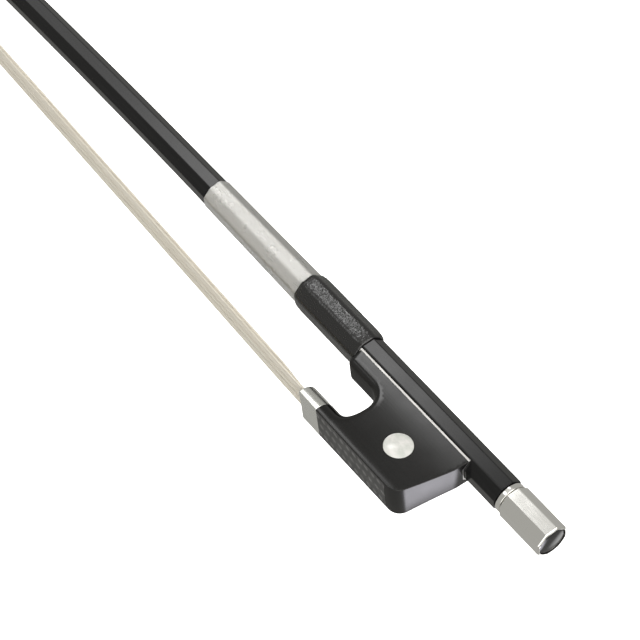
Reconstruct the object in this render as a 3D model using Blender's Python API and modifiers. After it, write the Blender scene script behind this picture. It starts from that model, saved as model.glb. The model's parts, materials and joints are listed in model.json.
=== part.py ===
"""Full-size viola bow: stick with head, frog, hair ribbon and screw button, lying on its side.

Metres, +Z up, +X towards the button, hair on the -Y side of the stick. The shapes are worked out about
the stick's own axis, with the end of the stick at x = 0, and the finished bow is then set on its base.
"""

import math

import bmesh
import bpy
from mathutils import Matrix, Vector

# Running gaps between pieces
GAP = 0.0001
SLIDING_GAP = 0.00012
SCREW_CLEARANCE = 0.00008

# Stick: octagonal, parallel at the handle, then tapering to the head
BOW_LENGTH = 0.745
STICK_FLATS = 0.0090
STICK_FLATS_THUMB = 0.00825
STICK_FLATS_HEAD = 0.0056
HANDLE_LENGTH = 0.088
CAMBER_STATIONS = 36
CAMBER_DIP_AFTER = 0.270
CAMBER_DIP = 0.0045
NIPPLE_LENGTH = 0.0012
NIPPLE_RADIUS = 0.0028
EYELET_MORTISE_TOP = 0.0024

# Winding and grip leather round the handle
WINDING_LENGTH = 0.0436
WINDING_WALL = 0.0002
WINDING_TO_CAMBER = 0.00755
LEATHER_LENGTH = 0.0271
LEATHER_WALL = 0.00085
LEATHER_END_WALL = 0.00035
LEATHER_END_LENGTH = 0.0042
LEATHER_CORNER = 0.0022
LEATHER_TO_FROG = 0.00015

# Frog: side outline, measured down from the stick's axis
FROG_RAIL_LENGTH = 0.0460
FROG_TO_STICK_END = 0.0120
FROG_DEPTH = 0.0241
FROG_RAIL_WIDTH = 0.0086
FROG_BASE_WIDTH_FRONT = 0.0124
FROG_BASE_WIDTH_REAR = 0.0115
FROG_SIDE_HOLLOW = 1.8
FROG_HEEL_UPPER_SLOPE = 0.055
FROG_HEEL_SLOPE = 0.215
FROG_HEEL_KNEE = 0.0072
FROG_HEEL_KNEE_RADIUS = 0.0150
FROG_HEEL_RADIUS = 0.0042
FROG_NOSE_RADIUS = 0.0022
THROAT_TOP = 0.0077
THROAT_BOTTOM = 0.0185
THROAT_DEPTH = 0.0157
THROAT_UPPER_RADIUS = 0.0052
THROAT_LOWER_RADIUS = 0.0038
THROAT_EDGE = 0.0018
FRONT_EDGE = 0.0008
EDGE_CUTTER_PROUD = 0.00007

# Underslide, the silver lining of the frog's channel
UNDERSLIDE_WALL = 0.00038
UNDERSLIDE_PIN_RADIUS = 0.0006
UNDERSLIDE_PIN_LENGTH = 0.0020
UNDERSLIDE_PIN_INSET = 0.0045

# Ferrule, a D-shaped silver tube round the frog's tongue
FERRULE_LENGTH = 0.0074
FERRULE_WALL = 0.0006
FERRULE_SIDE_HEIGHT = 0.0010
FERRULE_BACK_FROM_RAIL = 0.0016
TONGUE_BACK_FROM_MOUTH = 0.0010
WEDGE_LENGTH = 0.0034
WEDGE_THICKNESS = 0.0008
WEDGE_SIDE_ROOM = 0.0007

# Slide on the frog's underside
SLIDE_LENGTH = 0.0288
SLIDE_MARGIN = 0.0005
SLIDE_INLAY_THICKNESS = 0.0005
SLIDE_BACKING_THICKNESS = 0.0006
SLIDE_BACKING_UNDER_FERRULE = 0.0045

# Pearl eyes on the frog's sides
FROG_EYE_RADIUS = 0.0040
FROG_EYE_THICKNESS = 0.0008
FROG_EYE_PROUD = 0.00005
FROG_EYE_FROM_HEEL = 0.0151
FROG_EYE_DEPTH = 0.0139

# Screw, eyelet and the frog's travel on the stick
SCREW_RADIUS = 0.0014
SCREW_TIP = 0.0495
SCREW_INTO_BUTTON = 0.0100
FROG_TRAVEL = 0.0070
EYELET_AT = 0.0375
EYELET_LENGTH = 0.0050
EYELET_WIDTH = 0.0042
EYELET_TOP = 0.0020
EYELET_SHANK_RADIUS = 0.0015
EYELET_SHANK_LENGTH = 0.0060

# Button
BUTTON_FLATS = 0.0093
BUTTON_LENGTH = 0.01575
BUTTON_CHAMFER = 0.0004
BUTTON_SHELL_BORE = 0.0038
COLLAR_LENGTH = 0.0015
COLLAR_RADIUS = 0.00456
COLLAR_GAP = 0.0003
BUTTON_EYE_RADIUS = 0.0042
BUTTON_EYE_THICKNESS = 0.0012
BUTTON_EYE_DOME = 0.0005

# Hair ribbon
HAIR_SLOPE = 0.0205
HAIR_THICKNESS = 0.0008
HAIR_WIDTH_FROG = 0.0105
HAIR_WIDTH_HEAD = 0.0090
HAIR_SIDE_ROOM = 0.0003
HAIR_ABOVE_BASE = 0.0018

# Head: measured from the tip along the hair, and up from the face of the plate
HEAD_HEIGHT = 0.0240
HEAD_LENGTH = 0.0275
HEAD_WIDTH = 0.0112
HEAD_PLATE_THICKNESS = 0.0012
HEAD_LINER_THICKNESS = 0.0008
HEAD_STICK_OVERLAP = 0.0128
HEAD_STICK_INSET = 0.0015

# Hair mortises in the head and in the frog
MORTISE_LENGTH = 0.0082
FROG_MORTISE_WIDTH = 0.0080
HEAD_MORTISE_WIDTH = 0.0060
MORTISE_DEPTH = 0.0068
HEAD_MORTISE_FROM_TIP = 0.0110
FROG_MORTISE_BEHIND_THROAT = 0.0030
PLUG_DEPTH = 0.0030
KNOT_RADIUS = 0.0020
KNOT_NECK_RADIUS = 0.0012
BINDING_WALL = 0.0003

ROUND_SIDES = 32

# Places along the stick that follow from the sizes above
BUTTON_START = COLLAR_GAP + COLLAR_LENGTH + GAP
BUTTON_END = BUTTON_START + BUTTON_LENGTH
TIP_X = BUTTON_END - BOW_LENGTH
RAIL_REAR = -FROG_TO_STICK_END
RAIL_FRONT = RAIL_REAR - FROG_RAIL_LENGTH
FERRULE_MOUTH = RAIL_FRONT + FERRULE_BACK_FROM_RAIL
FERRULE_REAR = FERRULE_MOUTH + FERRULE_LENGTH
THROAT_BACK = RAIL_FRONT + THROAT_DEPTH
LEATHER_REAR = RAIL_FRONT - LEATHER_TO_FROG
LEATHER_FRONT = LEATHER_REAR - LEATHER_LENGTH
WINDING_REAR = LEATHER_FRONT - GAP
WINDING_FRONT = WINDING_REAR - WINDING_LENGTH
THUMB_AT = WINDING_TO_CAMBER - WINDING_FRONT
CAMBER_FROM = THUMB_AT
HAIR_Y = -FROG_DEPTH + HAIR_ABOVE_BASE
HEAD_BASE = HEAD_PLATE_THICKNESS + HEAD_LINER_THICKNESS + 2 * GAP
HAIR_ANGLE = math.atan(HAIR_SLOPE)
THROAT_BOTTOM_TO_SPRING = FROG_DEPTH - FERRULE_SIDE_HEIGHT - THROAT_BOTTOM


def remove_everything():
    for obj in list(bpy.data.objects):
        bpy.data.objects.remove(obj, do_unlink=True)


remove_everything()
bow = bpy.data.collections.new("viola_bow")
cutters = bpy.data.collections.new("cutters")
bpy.context.scene.collection.children.link(bow)
bpy.context.scene.collection.children.link(cutters)


def finish(name, colour, roughness, metallic=0.0):
    """A Principled material."""
    material = bpy.data.materials.new(name)
    material.use_nodes = True
    shader = material.node_tree.nodes["Principled BSDF"]
    shader.inputs["Base Color"].default_value = (*colour, 1)
    shader.inputs["Roughness"].default_value = roughness
    shader.inputs["Metallic"].default_value = metallic
    return material


CARBON = finish("black_lacquered_carbon", (0.012, 0.012, 0.013), 0.22)
EBONY = finish("polished_ebony", (0.02, 0.018, 0.017), 0.35)
SILVER = finish("polished_silver", (0.80, 0.79, 0.76), 0.18, 1.0)
WIRE = finish("silver_wire", (0.70, 0.69, 0.67), 0.3, 1.0)
LEATHER = finish("black_leather", (0.015, 0.015, 0.016), 0.6)
PEARL = finish("mother_of_pearl", (0.80, 0.80, 0.76), 0.25)
DARK_PEARL = finish("dark_pearl", (0.10, 0.10, 0.105), 0.25)
BRASS = finish("brass", (0.72, 0.52, 0.22), 0.3, 1.0)
STEEL = finish("steel", (0.55, 0.55, 0.56), 0.3, 1.0)
WOOD = finish("pale_maple", (0.62, 0.47, 0.30), 0.6)
PLATE = finish("white_plate", (0.86, 0.84, 0.78), 0.35)
HAIR = finish("horsehair", (0.78, 0.73, 0.62), 0.5)
THREAD = finish("waxed_thread", (0.35, 0.10, 0.08), 0.7)


def carrier(name, location=(0, 0, 0), parent=None):
    """An empty that carries the pieces of one moving group."""
    empty = bpy.data.objects.new(name, None)
    empty.location = location
    empty.parent = parent
    bow.objects.link(empty)
    return empty


FRAME = carrier("bow_frame")
FROG = carrier("frog_carriage", parent=FRAME)
ADJUSTER = carrier("adjuster_axis", parent=FRAME)


def put(name, bm, material=None, parent=FRAME, smooth=False):
    """A mesh object from bm: a piece of the bow with a material, or a cutter without one."""
    bmesh.ops.recalc_face_normals(bm, faces=bm.faces)
    mesh = bpy.data.meshes.new(name)
    bm.to_mesh(mesh)
    bm.free()
    obj = bpy.data.objects.new(name, mesh)
    obj.parent = parent
    if material is None:
        cutters.objects.link(obj)
        obj.hide_render = True
        obj.display_type = "WIRE"
        return obj
    bow.objects.link(obj)
    mesh.materials.append(material)
    if smooth:
        mesh.shade_smooth()
        mesh.set_sharp_from_angle(angle=math.radians(35))
    return obj


def boolean(obj, other, operation):
    modifier = obj.modifiers.new(other.name, "BOOLEAN")
    modifier.operation = operation
    modifier.object = other
    modifier.solver = "EXACT"


def cut(obj, *others):
    for other in others:
        boolean(obj, other, "DIFFERENCE")


def box(low, high):
    bm = bmesh.new()
    size = Vector(high) - Vector(low)
    middle = (Vector(high) + Vector(low)) / 2
    bmesh.ops.create_cube(bm, size=1, matrix=Matrix.Translation(middle) @ Matrix.Diagonal((*size, 1)))
    return bm


ALONG_X = Matrix.Rotation(math.pi / 2, 4, "Y")
ALONG_Y = Matrix.Rotation(-math.pi / 2, 4, "X")


def rod(radius, start, end, axis=ALONG_X, centre=(0, 0, 0), end_radius=None, sides=ROUND_SIDES, turn=0.0):
    """A round bar from start to end along the axis through centre."""
    bm = bmesh.new()
    place = Matrix.Translation(centre) @ axis @ Matrix.Translation((0, 0, (start + end) / 2))
    bmesh.ops.create_cone(
        bm,
        cap_ends=True,
        segments=sides,
        radius1=radius,
        radius2=radius if end_radius is None else end_radius,
        depth=end - start,
        matrix=place @ Matrix.Rotation(turn, 4, "Z"),
    )
    return bm


def octagon_bar(flats, start, end):
    """A bar along X with eight flats, two of them facing up and down."""
    return rod(flats / 2 / math.cos(math.pi / 8), start, end, sides=8, turn=math.pi / 8)


def loft(rings):
    """A closed body through rings of points, all with one count."""
    bm = bmesh.new()
    loops = [[bm.verts.new(point) for point in ring] for ring in rings]
    count = len(loops[0])
    for near, far in zip(loops, loops[1:]):
        for i in range(count):
            j = (i + 1) % count
            bm.faces.new((near[i], near[j], far[j], far[i]))
    bmesh.ops.triangulate(bm, faces=bm.faces)
    bm.faces.new(loops[0])
    bm.faces.new(reversed(loops[-1]))
    return bm


def rounded(corners, steps=6):
    """Points of a closed outline whose corners (a, b, radius) are rounded by arcs."""
    points = []
    for i, (a, b, radius) in enumerate(corners):
        here = Vector((a, b))
        to_last = (Vector(corners[i - 1][:2]) - here).normalized()
        to_next = (Vector(corners[(i + 1) % len(corners)][:2]) - here).normalized()
        half = math.acos(max(-1, min(1, to_last.dot(to_next)))) / 2
        if radius == 0:
            points.append(here)
            continue
        centre = here + (to_last + to_next).normalized() * radius / math.sin(half)
        first = here + to_last * radius / math.tan(half) - centre
        last = here + to_next * radius / math.tan(half) - centre
        sweep = math.copysign(math.pi - 2 * half, first.cross(last))
        points += [centre + Matrix.Rotation(sweep * k / steps, 2) @ first for k in range(steps + 1)]
    return points


SIDE_VIEW = Matrix.Identity(4)
PLAN_VIEW = Matrix(((1, 0, 0, 0), (0, 0, -1, 0), (0, 1, 0, 0), (0, 0, 0, 1)))
END_VIEW = Matrix(((0, 0, 1, 0), (1, 0, 0, 0), (0, 1, 0, 0), (0, 0, 0, 1)))


def slab(points, low, high, view=SIDE_VIEW):
    """A flat outline, drawn in the side view (x, y), the plan view (x, z) or the end view (y, z).

    It is given its thickness from low to high along the direction that the view looks.
    """
    curve = bpy.data.curves.new("outline", "CURVE")
    curve.dimensions = "2D"
    curve.fill_mode = "BOTH"
    curve.extrude = (high - low) / 2
    spline = curve.splines.new("POLY")
    spline.points.add(len(points) - 1)
    for spot, (a, b) in zip(spline.points, points):
        spot.co = (a, b, 0, 1)
    spline.use_cyclic_u = True
    drawn = bpy.data.objects.new("outline", curve)
    cutters.objects.link(drawn)
    graph = bpy.context.evaluated_depsgraph_get()
    mesh = bpy.data.meshes.new_from_object(drawn.evaluated_get(graph))
    bm = bmesh.new()
    bm.from_mesh(mesh)
    bmesh.ops.remove_doubles(bm, verts=bm.verts, dist=0.000002)
    middle = (low + high) / 2
    if view == PLAN_VIEW:
        middle = -middle
    bm.transform(view @ Matrix.Translation((0, 0, middle)))
    bpy.data.objects.remove(drawn)
    bpy.data.curves.remove(curve)
    bpy.data.meshes.remove(mesh)
    return bm


def mirrored(points):
    """The outline of (a, b) points with b from 0 up, closed by its mirror image at -b."""
    return list(points) + [(a, -b) for a, b in reversed(points)]


# Stick

HEAD_AXIS_X = TIP_X + HEAD_LENGTH


def hair_y(x):
    """Height of the middle of the hair ribbon."""
    return HAIR_Y + HAIR_SLOPE * (FERRULE_MOUTH - x)


def camber_terms():
    """Factors of the camber's square and cube, from its dip and from the height of the head."""
    near = CAMBER_DIP_AFTER
    far = -HEAD_AXIS_X - CAMBER_FROM
    plate_face = hair_y(HEAD_AXIS_X) + HAIR_THICKNESS / 2 + GAP
    rise = plate_face + HEAD_HEIGHT - STICK_FLATS_HEAD / 2
    cube = (rise / far**2 + CAMBER_DIP / near**2) / (far - near)
    square = -CAMBER_DIP / near**2 - cube * near
    return square, cube


CAMBER_SQUARE, CAMBER_CUBE = camber_terms()


def stick_y(x):
    """Height of the stick's middle line, which dips towards the hair and rises to the head."""
    run = max(0, -x - CAMBER_FROM)
    return CAMBER_SQUARE * run**2 + CAMBER_CUBE * run**3


def stick_flats(x):
    """The stick's size across its flats."""
    run = -x
    if run <= HANDLE_LENGTH:
        return STICK_FLATS
    if run <= THUMB_AT:
        share = (run - HANDLE_LENGTH) / (THUMB_AT - HANDLE_LENGTH)
        return STICK_FLATS + share * (STICK_FLATS_THUMB - STICK_FLATS)
    share = (run - THUMB_AT) / (-HEAD_AXIS_X - THUMB_AT)
    return STICK_FLATS_THUMB + share * (STICK_FLATS_HEAD - STICK_FLATS_THUMB)


def head_place():
    """Places the head's own frame, u along the hair from the tip and v up from the plate's face."""
    face = hair_y(TIP_X) + HAIR_THICKNESS / 2 + GAP
    return Matrix.Translation((TIP_X, face, 0)) @ Matrix.Rotation(-HAIR_ANGLE, 4, "Z")


HEAD_PLACE = head_place()


def stick_body(name, first_x, last_x):
    """The tapering shaft, swept along the camber with eight sides."""
    curve = bpy.data.curves.new(name, "CURVE")
    curve.dimensions = "3D"
    curve.bevel_depth = STICK_FLATS / 2 / math.cos(math.pi / 8)
    curve.bevel_resolution = 2
    curve.use_fill_caps = True
    cambered = last_x + CAMBER_FROM
    stations = [first_x, -HANDLE_LENGTH, -THUMB_AT]
    stations += [-CAMBER_FROM + cambered * (k + 1) / CAMBER_STATIONS for k in range(CAMBER_STATIONS)]
    stations = sorted(set(stations), reverse=True)
    spline = curve.splines.new("POLY")
    spline.points.add(len(stations) - 1)
    for spot, x in zip(spline.points, stations):
        spot.co = (x, stick_y(x), 0, 1)
        spot.radius = stick_flats(x) / STICK_FLATS
        spot.tilt = math.pi / 8
    drawn = bpy.data.objects.new(name, curve)
    cutters.objects.link(drawn)
    graph = bpy.context.evaluated_depsgraph_get()
    mesh = bpy.data.meshes.new_from_object(drawn.evaluated_get(graph))
    bm = bmesh.new()
    bm.from_mesh(mesh)
    bmesh.ops.remove_doubles(bm, verts=bm.verts, dist=0.000002)
    bpy.data.objects.remove(drawn)
    bpy.data.curves.remove(curve)
    bpy.data.meshes.remove(mesh)
    return bm


def head_half_width(u):
    """Half the width of the head's face, from its pointed tip to its square rear."""
    share = min(1, max(0, u / HEAD_LENGTH))
    return HEAD_WIDTH / 2 * (0.13 + 0.87 * (1 - (1 - share) ** 2.5))


def half_plan_outline():
    return [(HEAD_LENGTH * k / 10, head_half_width(HEAD_LENGTH * k / 10)) for k in range(11)]


def stick_in_head(u):
    """Height of the stick's middle line above the plate's face, in the head's frame."""
    spot = HEAD_PLACE.inverted() @ Vector((TIP_X + u, stick_y(TIP_X + u), 0))
    return spot.y


def make_head():
    """The hatchet head: its side outline, narrowed to the plate's outline and towards the stick."""
    rear = HEAD_LENGTH + HEAD_STICK_OVERLAP
    throat = HEAD_LENGTH * 1.164
    brow = HEAD_LENGTH * 0.782
    half_stick = STICK_FLATS_HEAD / 2
    flat = half_stick * math.tan(math.pi / 8)
    side = rounded(
        [
            (HEAD_LENGTH * 0.0436, HEAD_BASE, 0),
            (HEAD_LENGTH, HEAD_BASE, 0),
            (HEAD_LENGTH * 0.9564, HEAD_HEIGHT * 0.42, HEAD_LENGTH * 0.218),
            (throat, stick_in_head(throat) - half_stick, HEAD_LENGTH * 0.218),
            (rear, stick_in_head(rear) - half_stick * 0.985, 0),
            (rear, stick_in_head(rear) + half_stick * 0.985, 0),
            (brow, stick_in_head(brow) + half_stick, HEAD_LENGTH * 0.364),
            (HEAD_LENGTH * 0.4545, HEAD_HEIGHT * 0.92, HEAD_LENGTH * 0.2545),
            (HEAD_LENGTH * 0.182, HEAD_HEIGHT * 0.42, HEAD_LENGTH * 0.436),
        ]
    )
    head = put("head_side", slab(side, -HEAD_WIDTH, HEAD_WIDTH))
    tail = [(HEAD_LENGTH + 0.001, half_stick), (rear, flat * 0.97)]
    plan = mirrored(half_plan_outline() + tail)
    plan_cutter = put("head_plan", slab(plan, 0, 2 * HEAD_HEIGHT, PLAN_VIEW))
    front = mirrored(
        [
            (0, HEAD_WIDTH / 2),
            (HEAD_HEIGHT * 0.33, HEAD_WIDTH * 0.42),
            (HEAD_HEIGHT * 0.62, HEAD_WIDTH * 0.30),
            (HEAD_HEIGHT * 0.80, half_stick),
            (HEAD_HEIGHT - half_stick + flat, half_stick),
            (HEAD_HEIGHT, flat),
            (HEAD_HEIGHT * 1.05, flat),
        ]
    )
    front_cutter = put("head_front", slab(front, -rear, 2 * rear, END_VIEW))
    boolean(head, plan_cutter, "INTERSECT")
    boolean(head, front_cutter, "INTERSECT")
    for piece in (head, plan_cutter, front_cutter):
        piece.matrix_local = HEAD_PLACE
    return head


def make_stick():
    stick = put("stick", stick_body("stick_shaft", 0, TIP_X + HEAD_LENGTH - HEAD_STICK_INSET), CARBON)
    boolean(stick, make_head(), "UNION")
    nipple = rod(NIPPLE_RADIUS, -NIPPLE_LENGTH, NIPPLE_LENGTH, turn=math.pi / ROUND_SIDES)
    boolean(stick, put("nipple", nipple), "UNION")
    bore_radius = SCREW_RADIUS + SCREW_CLEARANCE
    bore = rod(bore_radius, -SCREW_TIP - 3 * GAP, 2 * NIPPLE_LENGTH)
    slot_half = EYELET_WIDTH / 2 + SLIDING_GAP
    slot_front = -EYELET_AT - EYELET_LENGTH / 2 - 4 * SLIDING_GAP
    slot_rear = -EYELET_AT + EYELET_LENGTH / 2 + FROG_TRAVEL + 4 * SLIDING_GAP
    slot = box((slot_front, -STICK_FLATS, -slot_half), (slot_rear, EYELET_MORTISE_TOP, slot_half))
    pocket = box(
        (HEAD_MORTISE_FROM_TIP, 0, -HEAD_MORTISE_WIDTH / 2),
        (HEAD_MORTISE_FROM_TIP + MORTISE_LENGTH, HEAD_BASE + MORTISE_DEPTH, HEAD_MORTISE_WIDTH / 2),
    )
    pocket = put("head_mortise", pocket)
    pocket.matrix_local = HEAD_PLACE
    cut(stick, put("screw_bore", bore), put("eyelet_slot", slot), pocket)


make_stick()


def make_head_face():
    """The black liner and the white plate under the head, both open at the mortise."""
    outline = mirrored(half_plan_outline())
    liner_low = HEAD_PLATE_THICKNESS + GAP
    liner_high = liner_low + HEAD_LINER_THICKNESS
    liner = put("head_liner", slab(outline, liner_low, liner_high, PLAN_VIEW), EBONY)
    plate = put("head_plate", slab(outline, 0, HEAD_PLATE_THICKNESS, PLAN_VIEW), PLATE)
    for piece in (liner, plate):
        piece.matrix_local = HEAD_PLACE
        hole = box(
            (HEAD_MORTISE_FROM_TIP, -HEAD_BASE, -HEAD_MORTISE_WIDTH / 2),
            (HEAD_MORTISE_FROM_TIP + MORTISE_LENGTH, 2 * HEAD_BASE, HEAD_MORTISE_WIDTH / 2),
        )
        hole = put(piece.name + "_hole", hole)
        hole.matrix_local = HEAD_PLACE
        cut(piece, hole)


make_head_face()


def soft_octagon(flats, corner, x, drop=0.0):
    """A ring round the stick's axis with eight flats and rounded corners."""
    reach = flats / 2 / math.cos(math.pi / 8)
    angles = [math.pi / 8 + k * math.pi / 4 for k in range(8)]
    corners = [(reach * math.cos(a), reach * math.sin(a), corner) for a in angles]
    return [(x, y - drop, z) for y, z in rounded(corners, 2)]


def make_handle_covers():
    """The winding and the grip leather, each a sleeve on the stick."""
    corner = 0.0004
    rings = []
    knees = [x for x in (-HANDLE_LENGTH, -THUMB_AT) if WINDING_FRONT < x < WINDING_REAR]
    for x in (WINDING_REAR, *knees, WINDING_FRONT):
        rings.append(soft_octagon(stick_flats(x) + 2 * (GAP + WINDING_WALL), corner, x))
    winding = put("winding", loft(rings), WIRE)
    steps = 5
    rings = []
    ends = [math.sin(math.pi / 2 * k / steps) for k in range(steps + 1)]
    swell = LEATHER_WALL - LEATHER_END_WALL
    stations = [(LEATHER_REAR - LEATHER_END_LENGTH * (1 - math.cos(math.asin(s))), s) for s in ends]
    far = [(LEATHER_FRONT + LEATHER_END_LENGTH * (1 - math.cos(math.asin(s))), s) for s in ends]
    for x, share in stations + far[::-1]:
        flats = STICK_FLATS + 2 * (GAP + LEATHER_END_WALL + swell * share)
        rings.append(soft_octagon(flats, LEATHER_CORNER, x))
    leather = put("grip_leather", loft(rings), LEATHER, smooth=True)
    room = 2 * GAP / math.cos(math.pi / 8)
    seat = []
    for x in (BUTTON_END, -HANDLE_LENGTH, -THUMB_AT):
        reach = (stick_flats(x) + room) / 2 / math.cos(math.pi / 8)
        angles = [math.pi / 8 + k * math.pi / 4 for k in range(8)]
        seat.append([(x, reach * math.cos(a), reach * math.sin(a)) for a in angles])
    seat = put("handle_seat", loft(seat))
    cut(winding, seat)
    cut(leather, seat)


make_handle_covers()

# Frog

CHANNEL_IN = STICK_FLATS / 2 + SLIDING_GAP
CHANNEL_OUT = CHANNEL_IN + UNDERSLIDE_WALL
FROG_CHANNEL = CHANNEL_OUT + GAP
SLIDE_FRONT = FERRULE_REAR + GAP
SLIDE_REAR = SLIDE_FRONT + SLIDE_LENGTH
BACKING_FRONT = FERRULE_REAR - SLIDE_BACKING_UNDER_FERRULE
SLIDE_BED = -FROG_DEPTH + SLIDE_INLAY_THICKNESS + SLIDE_BACKING_THICKNESS + 2 * GAP
FROG_MORTISE_FRONT = THROAT_BACK + FROG_MORTISE_BEHIND_THROAT
FROG_MORTISE_REAR = FROG_MORTISE_FRONT + MORTISE_LENGTH


def base_half_width(x):
    """Half the frog's width at its underside, which narrows towards the heel."""
    share = (x - FERRULE_MOUTH) / (RAIL_REAR - FERRULE_MOUTH)
    return (FROG_BASE_WIDTH_FRONT + share * (FROG_BASE_WIDTH_REAR - FROG_BASE_WIDTH_FRONT)) / 2


def side_half_width(x, depth):
    """Half the frog's width at a depth under the stick's axis: the sides are slightly hollow."""
    rail = FROG_RAIL_WIDTH / 2
    start = CHANNEL_OUT * math.sqrt(2) - rail
    share = (depth - start) / (FROG_DEPTH - FERRULE_SIDE_HEIGHT - start)
    return rail + (base_half_width(x) - rail) * min(1, max(0, share)) ** FROG_SIDE_HOLLOW


def d_section(inset):
    """The ferrule's outline in the end view: flat underneath, straight sides and an arched top."""
    half = FROG_BASE_WIDTH_FRONT / 2 - inset
    base = -FROG_DEPTH + inset
    spring = -FROG_DEPTH + FERRULE_SIDE_HEIGHT
    crown = -THROAT_BOTTOM - inset
    arch = [math.pi * k / 16 for k in range(17)]
    points = [(base, -half)]
    points += [(spring + (crown - spring) * math.sin(a), -half * math.cos(a)) for a in arch]
    return points + [(base, half)]


def frog_side_outline():
    """The frog from the side before its front and its throat are cut: rail, heel and underside."""
    knee_x = RAIL_REAR - FROG_HEEL_UPPER_SLOPE * (FROG_HEEL_KNEE - CHANNEL_OUT / 2)
    heel_x = knee_x - FROG_HEEL_SLOPE * (FROG_DEPTH - FROG_HEEL_KNEE)
    front = RAIL_FRONT - THROAT_EDGE
    above_tongue = -(THROAT_TOP + THROAT_BOTTOM) / 2
    return rounded(
        [
            (front, 0, 0),
            (front, above_tongue, 0),
            (FERRULE_REAR + GAP, above_tongue, 0),
            (FERRULE_REAR + GAP, -FROG_DEPTH, 0),
            (heel_x, -FROG_DEPTH, FROG_HEEL_RADIUS),
            (knee_x, -FROG_HEEL_KNEE, FROG_HEEL_KNEE_RADIUS),
            (RAIL_REAR, -CHANNEL_OUT / 2, 0),
            (RAIL_REAR, 0, 0),
        ],
        8,
    )


def throat_outline():
    """The opening under the frog's front, from the rail round the nose and the throat to the tongue.

    Each point carries how far the edge there is rounded off: across the frog, and into it.
    """
    outside = RAIL_FRONT - 0.005
    arch = (FROG_BASE_WIDTH_FRONT / 2, THROAT_BOTTOM_TO_SPRING)
    plain = (THROAT_EDGE, THROAT_EDGE)
    corners = [
        (RAIL_FRONT, -THROAT_TOP, FROG_NOSE_RADIUS),
        (THROAT_BACK, -THROAT_TOP, THROAT_UPPER_RADIUS),
        (THROAT_BACK, -THROAT_BOTTOM, THROAT_LOWER_RADIUS),
        (outside, -THROAT_BOTTOM, 0),
        (outside, 0.001, 0),
        (RAIL_FRONT, 0.001, 0),
    ]
    steps = 8
    points = rounded(corners, steps)
    edges = [plain] * (2 * steps + 2)
    for k in range(steps + 1):
        share = k / steps
        share = share**3 * (10 - 15 * share + 6 * share**2)
        edges.append(tuple(a + share * (b - a) for a, b in zip(plain, arch)))
    edges += [arch, plain, (FRONT_EDGE, FRONT_EDGE)]
    middle = 0.5 * CHANNEL_OUT
    points.append(Vector((RAIL_FRONT, -middle)))
    edges.append((FRONT_EDGE, FRONT_EDGE))
    return points, edges


def throat_cutter():
    """The opening through the frog, flared at both sides so that its edges come out rounded."""
    points, edges = throat_outline()
    count = len(points)
    outward = []
    for i, point in enumerate(points):
        before = (point - points[i - 1]).normalized()
        after = (points[(i + 1) % count] - point).normalized()
        along = (before + after).normalized()
        outward.append(Vector((-along.y, along.x)))
    if sum(a.cross(b) for a, b in zip(points, points[1:] + points[:1])) > 0:
        outward = [-vector for vector in outward]
    steps = 5
    rings = []
    for k in range(steps + 2):
        turn = math.pi / 2 * min(k, steps) / steps
        ring = []
        for point, vector, (across, into) in zip(points, outward, edges):
            spot = point + vector * into * (1 - math.cos(turn))
            rim = point + vector * into
            half = side_half_width(rim.x, -rim.y) + EDGE_CUTTER_PROUD
            z = half - min(across, half - 4 * GAP) * (1 - math.sin(turn))
            ring.append((spot.x, spot.y, FROG_BASE_WIDTH_FRONT if k > steps else z))
        rings.append(ring)
    return loft([[(x, y, -z) for x, y, z in ring] for ring in rings[::-1]] + rings)


def make_frog():
    body = put("frog_body", slab(frog_side_outline(), -FROG_DEPTH, FROG_DEPTH), EBONY, FROG)
    depths = [FROG_DEPTH * k / 12 for k in range(-1, 14)]
    rings = []
    for x in (RAIL_FRONT - 0.001, RAIL_REAR + 0.001):
        rings.append([(x, -y, z) for y, z in mirrored([(d, side_half_width(x, d)) for d in depths])])
    boolean(body, put("frog_sides", loft(rings), None, FROG), "INTERSECT")
    cut(body, put("throat", throat_cutter(), None, FROG))
    tongue = d_section(FERRULE_WALL + GAP)
    tongue = slab(tongue, FERRULE_MOUTH + TONGUE_BACK_FROM_MOUTH, FERRULE_REAR + 0.001, END_VIEW)
    boolean(body, put("tongue", tongue, None, FROG), "UNION")
    channel = octagon_bar(2 * FROG_CHANNEL, RAIL_FRONT - 0.001, RAIL_REAR + 0.001)
    shank_end = CHANNEL_IN + EYELET_SHANK_LENGTH + GAP
    shank = rod(EYELET_SHANK_RADIUS + GAP, -shank_end, 0, ALONG_Y, (-EYELET_AT, 0, 0))
    bed = slab(slide_plan(BACKING_FRONT - 0.004, GAP), -2 * FROG_DEPTH, SLIDE_BED, PLAN_VIEW)
    hair_room = slab(hair_channel_plan(), -FROG_DEPTH, HAIR_Y + HAIR_THICKNESS / 2 + GAP, PLAN_VIEW)
    pocket = box(
        (FROG_MORTISE_FRONT, -FROG_DEPTH, -FROG_MORTISE_WIDTH / 2),
        (FROG_MORTISE_REAR, SLIDE_BED + MORTISE_DEPTH, FROG_MORTISE_WIDTH / 2),
    )
    wedge_room = box(
        (FERRULE_MOUTH - 0.001, -FROG_DEPTH, -FROG_DEPTH),
        (WEDGE_REAR + GAP, WEDGE_TOP + GAP, FROG_DEPTH),
    )
    rooms = {
        "stick_channel": channel,
        "shank_hole": shank,
        "slide_bed": bed,
        "hair_channel": hair_room,
        "frog_mortise": pocket,
        "wedge_room": wedge_room,
    }
    cut(body, *(put(name, room, None, FROG) for name, room in rooms.items()))
    return body


def slide_plan(front, grown=0.0):
    """The slide's outline seen from below, grown a little for its bed."""
    rear = SLIDE_REAR + grown
    return mirrored(
        [
            (front, base_half_width(front) - SLIDE_MARGIN + grown),
            (rear, base_half_width(rear) - SLIDE_MARGIN + grown),
        ]
    )


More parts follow.
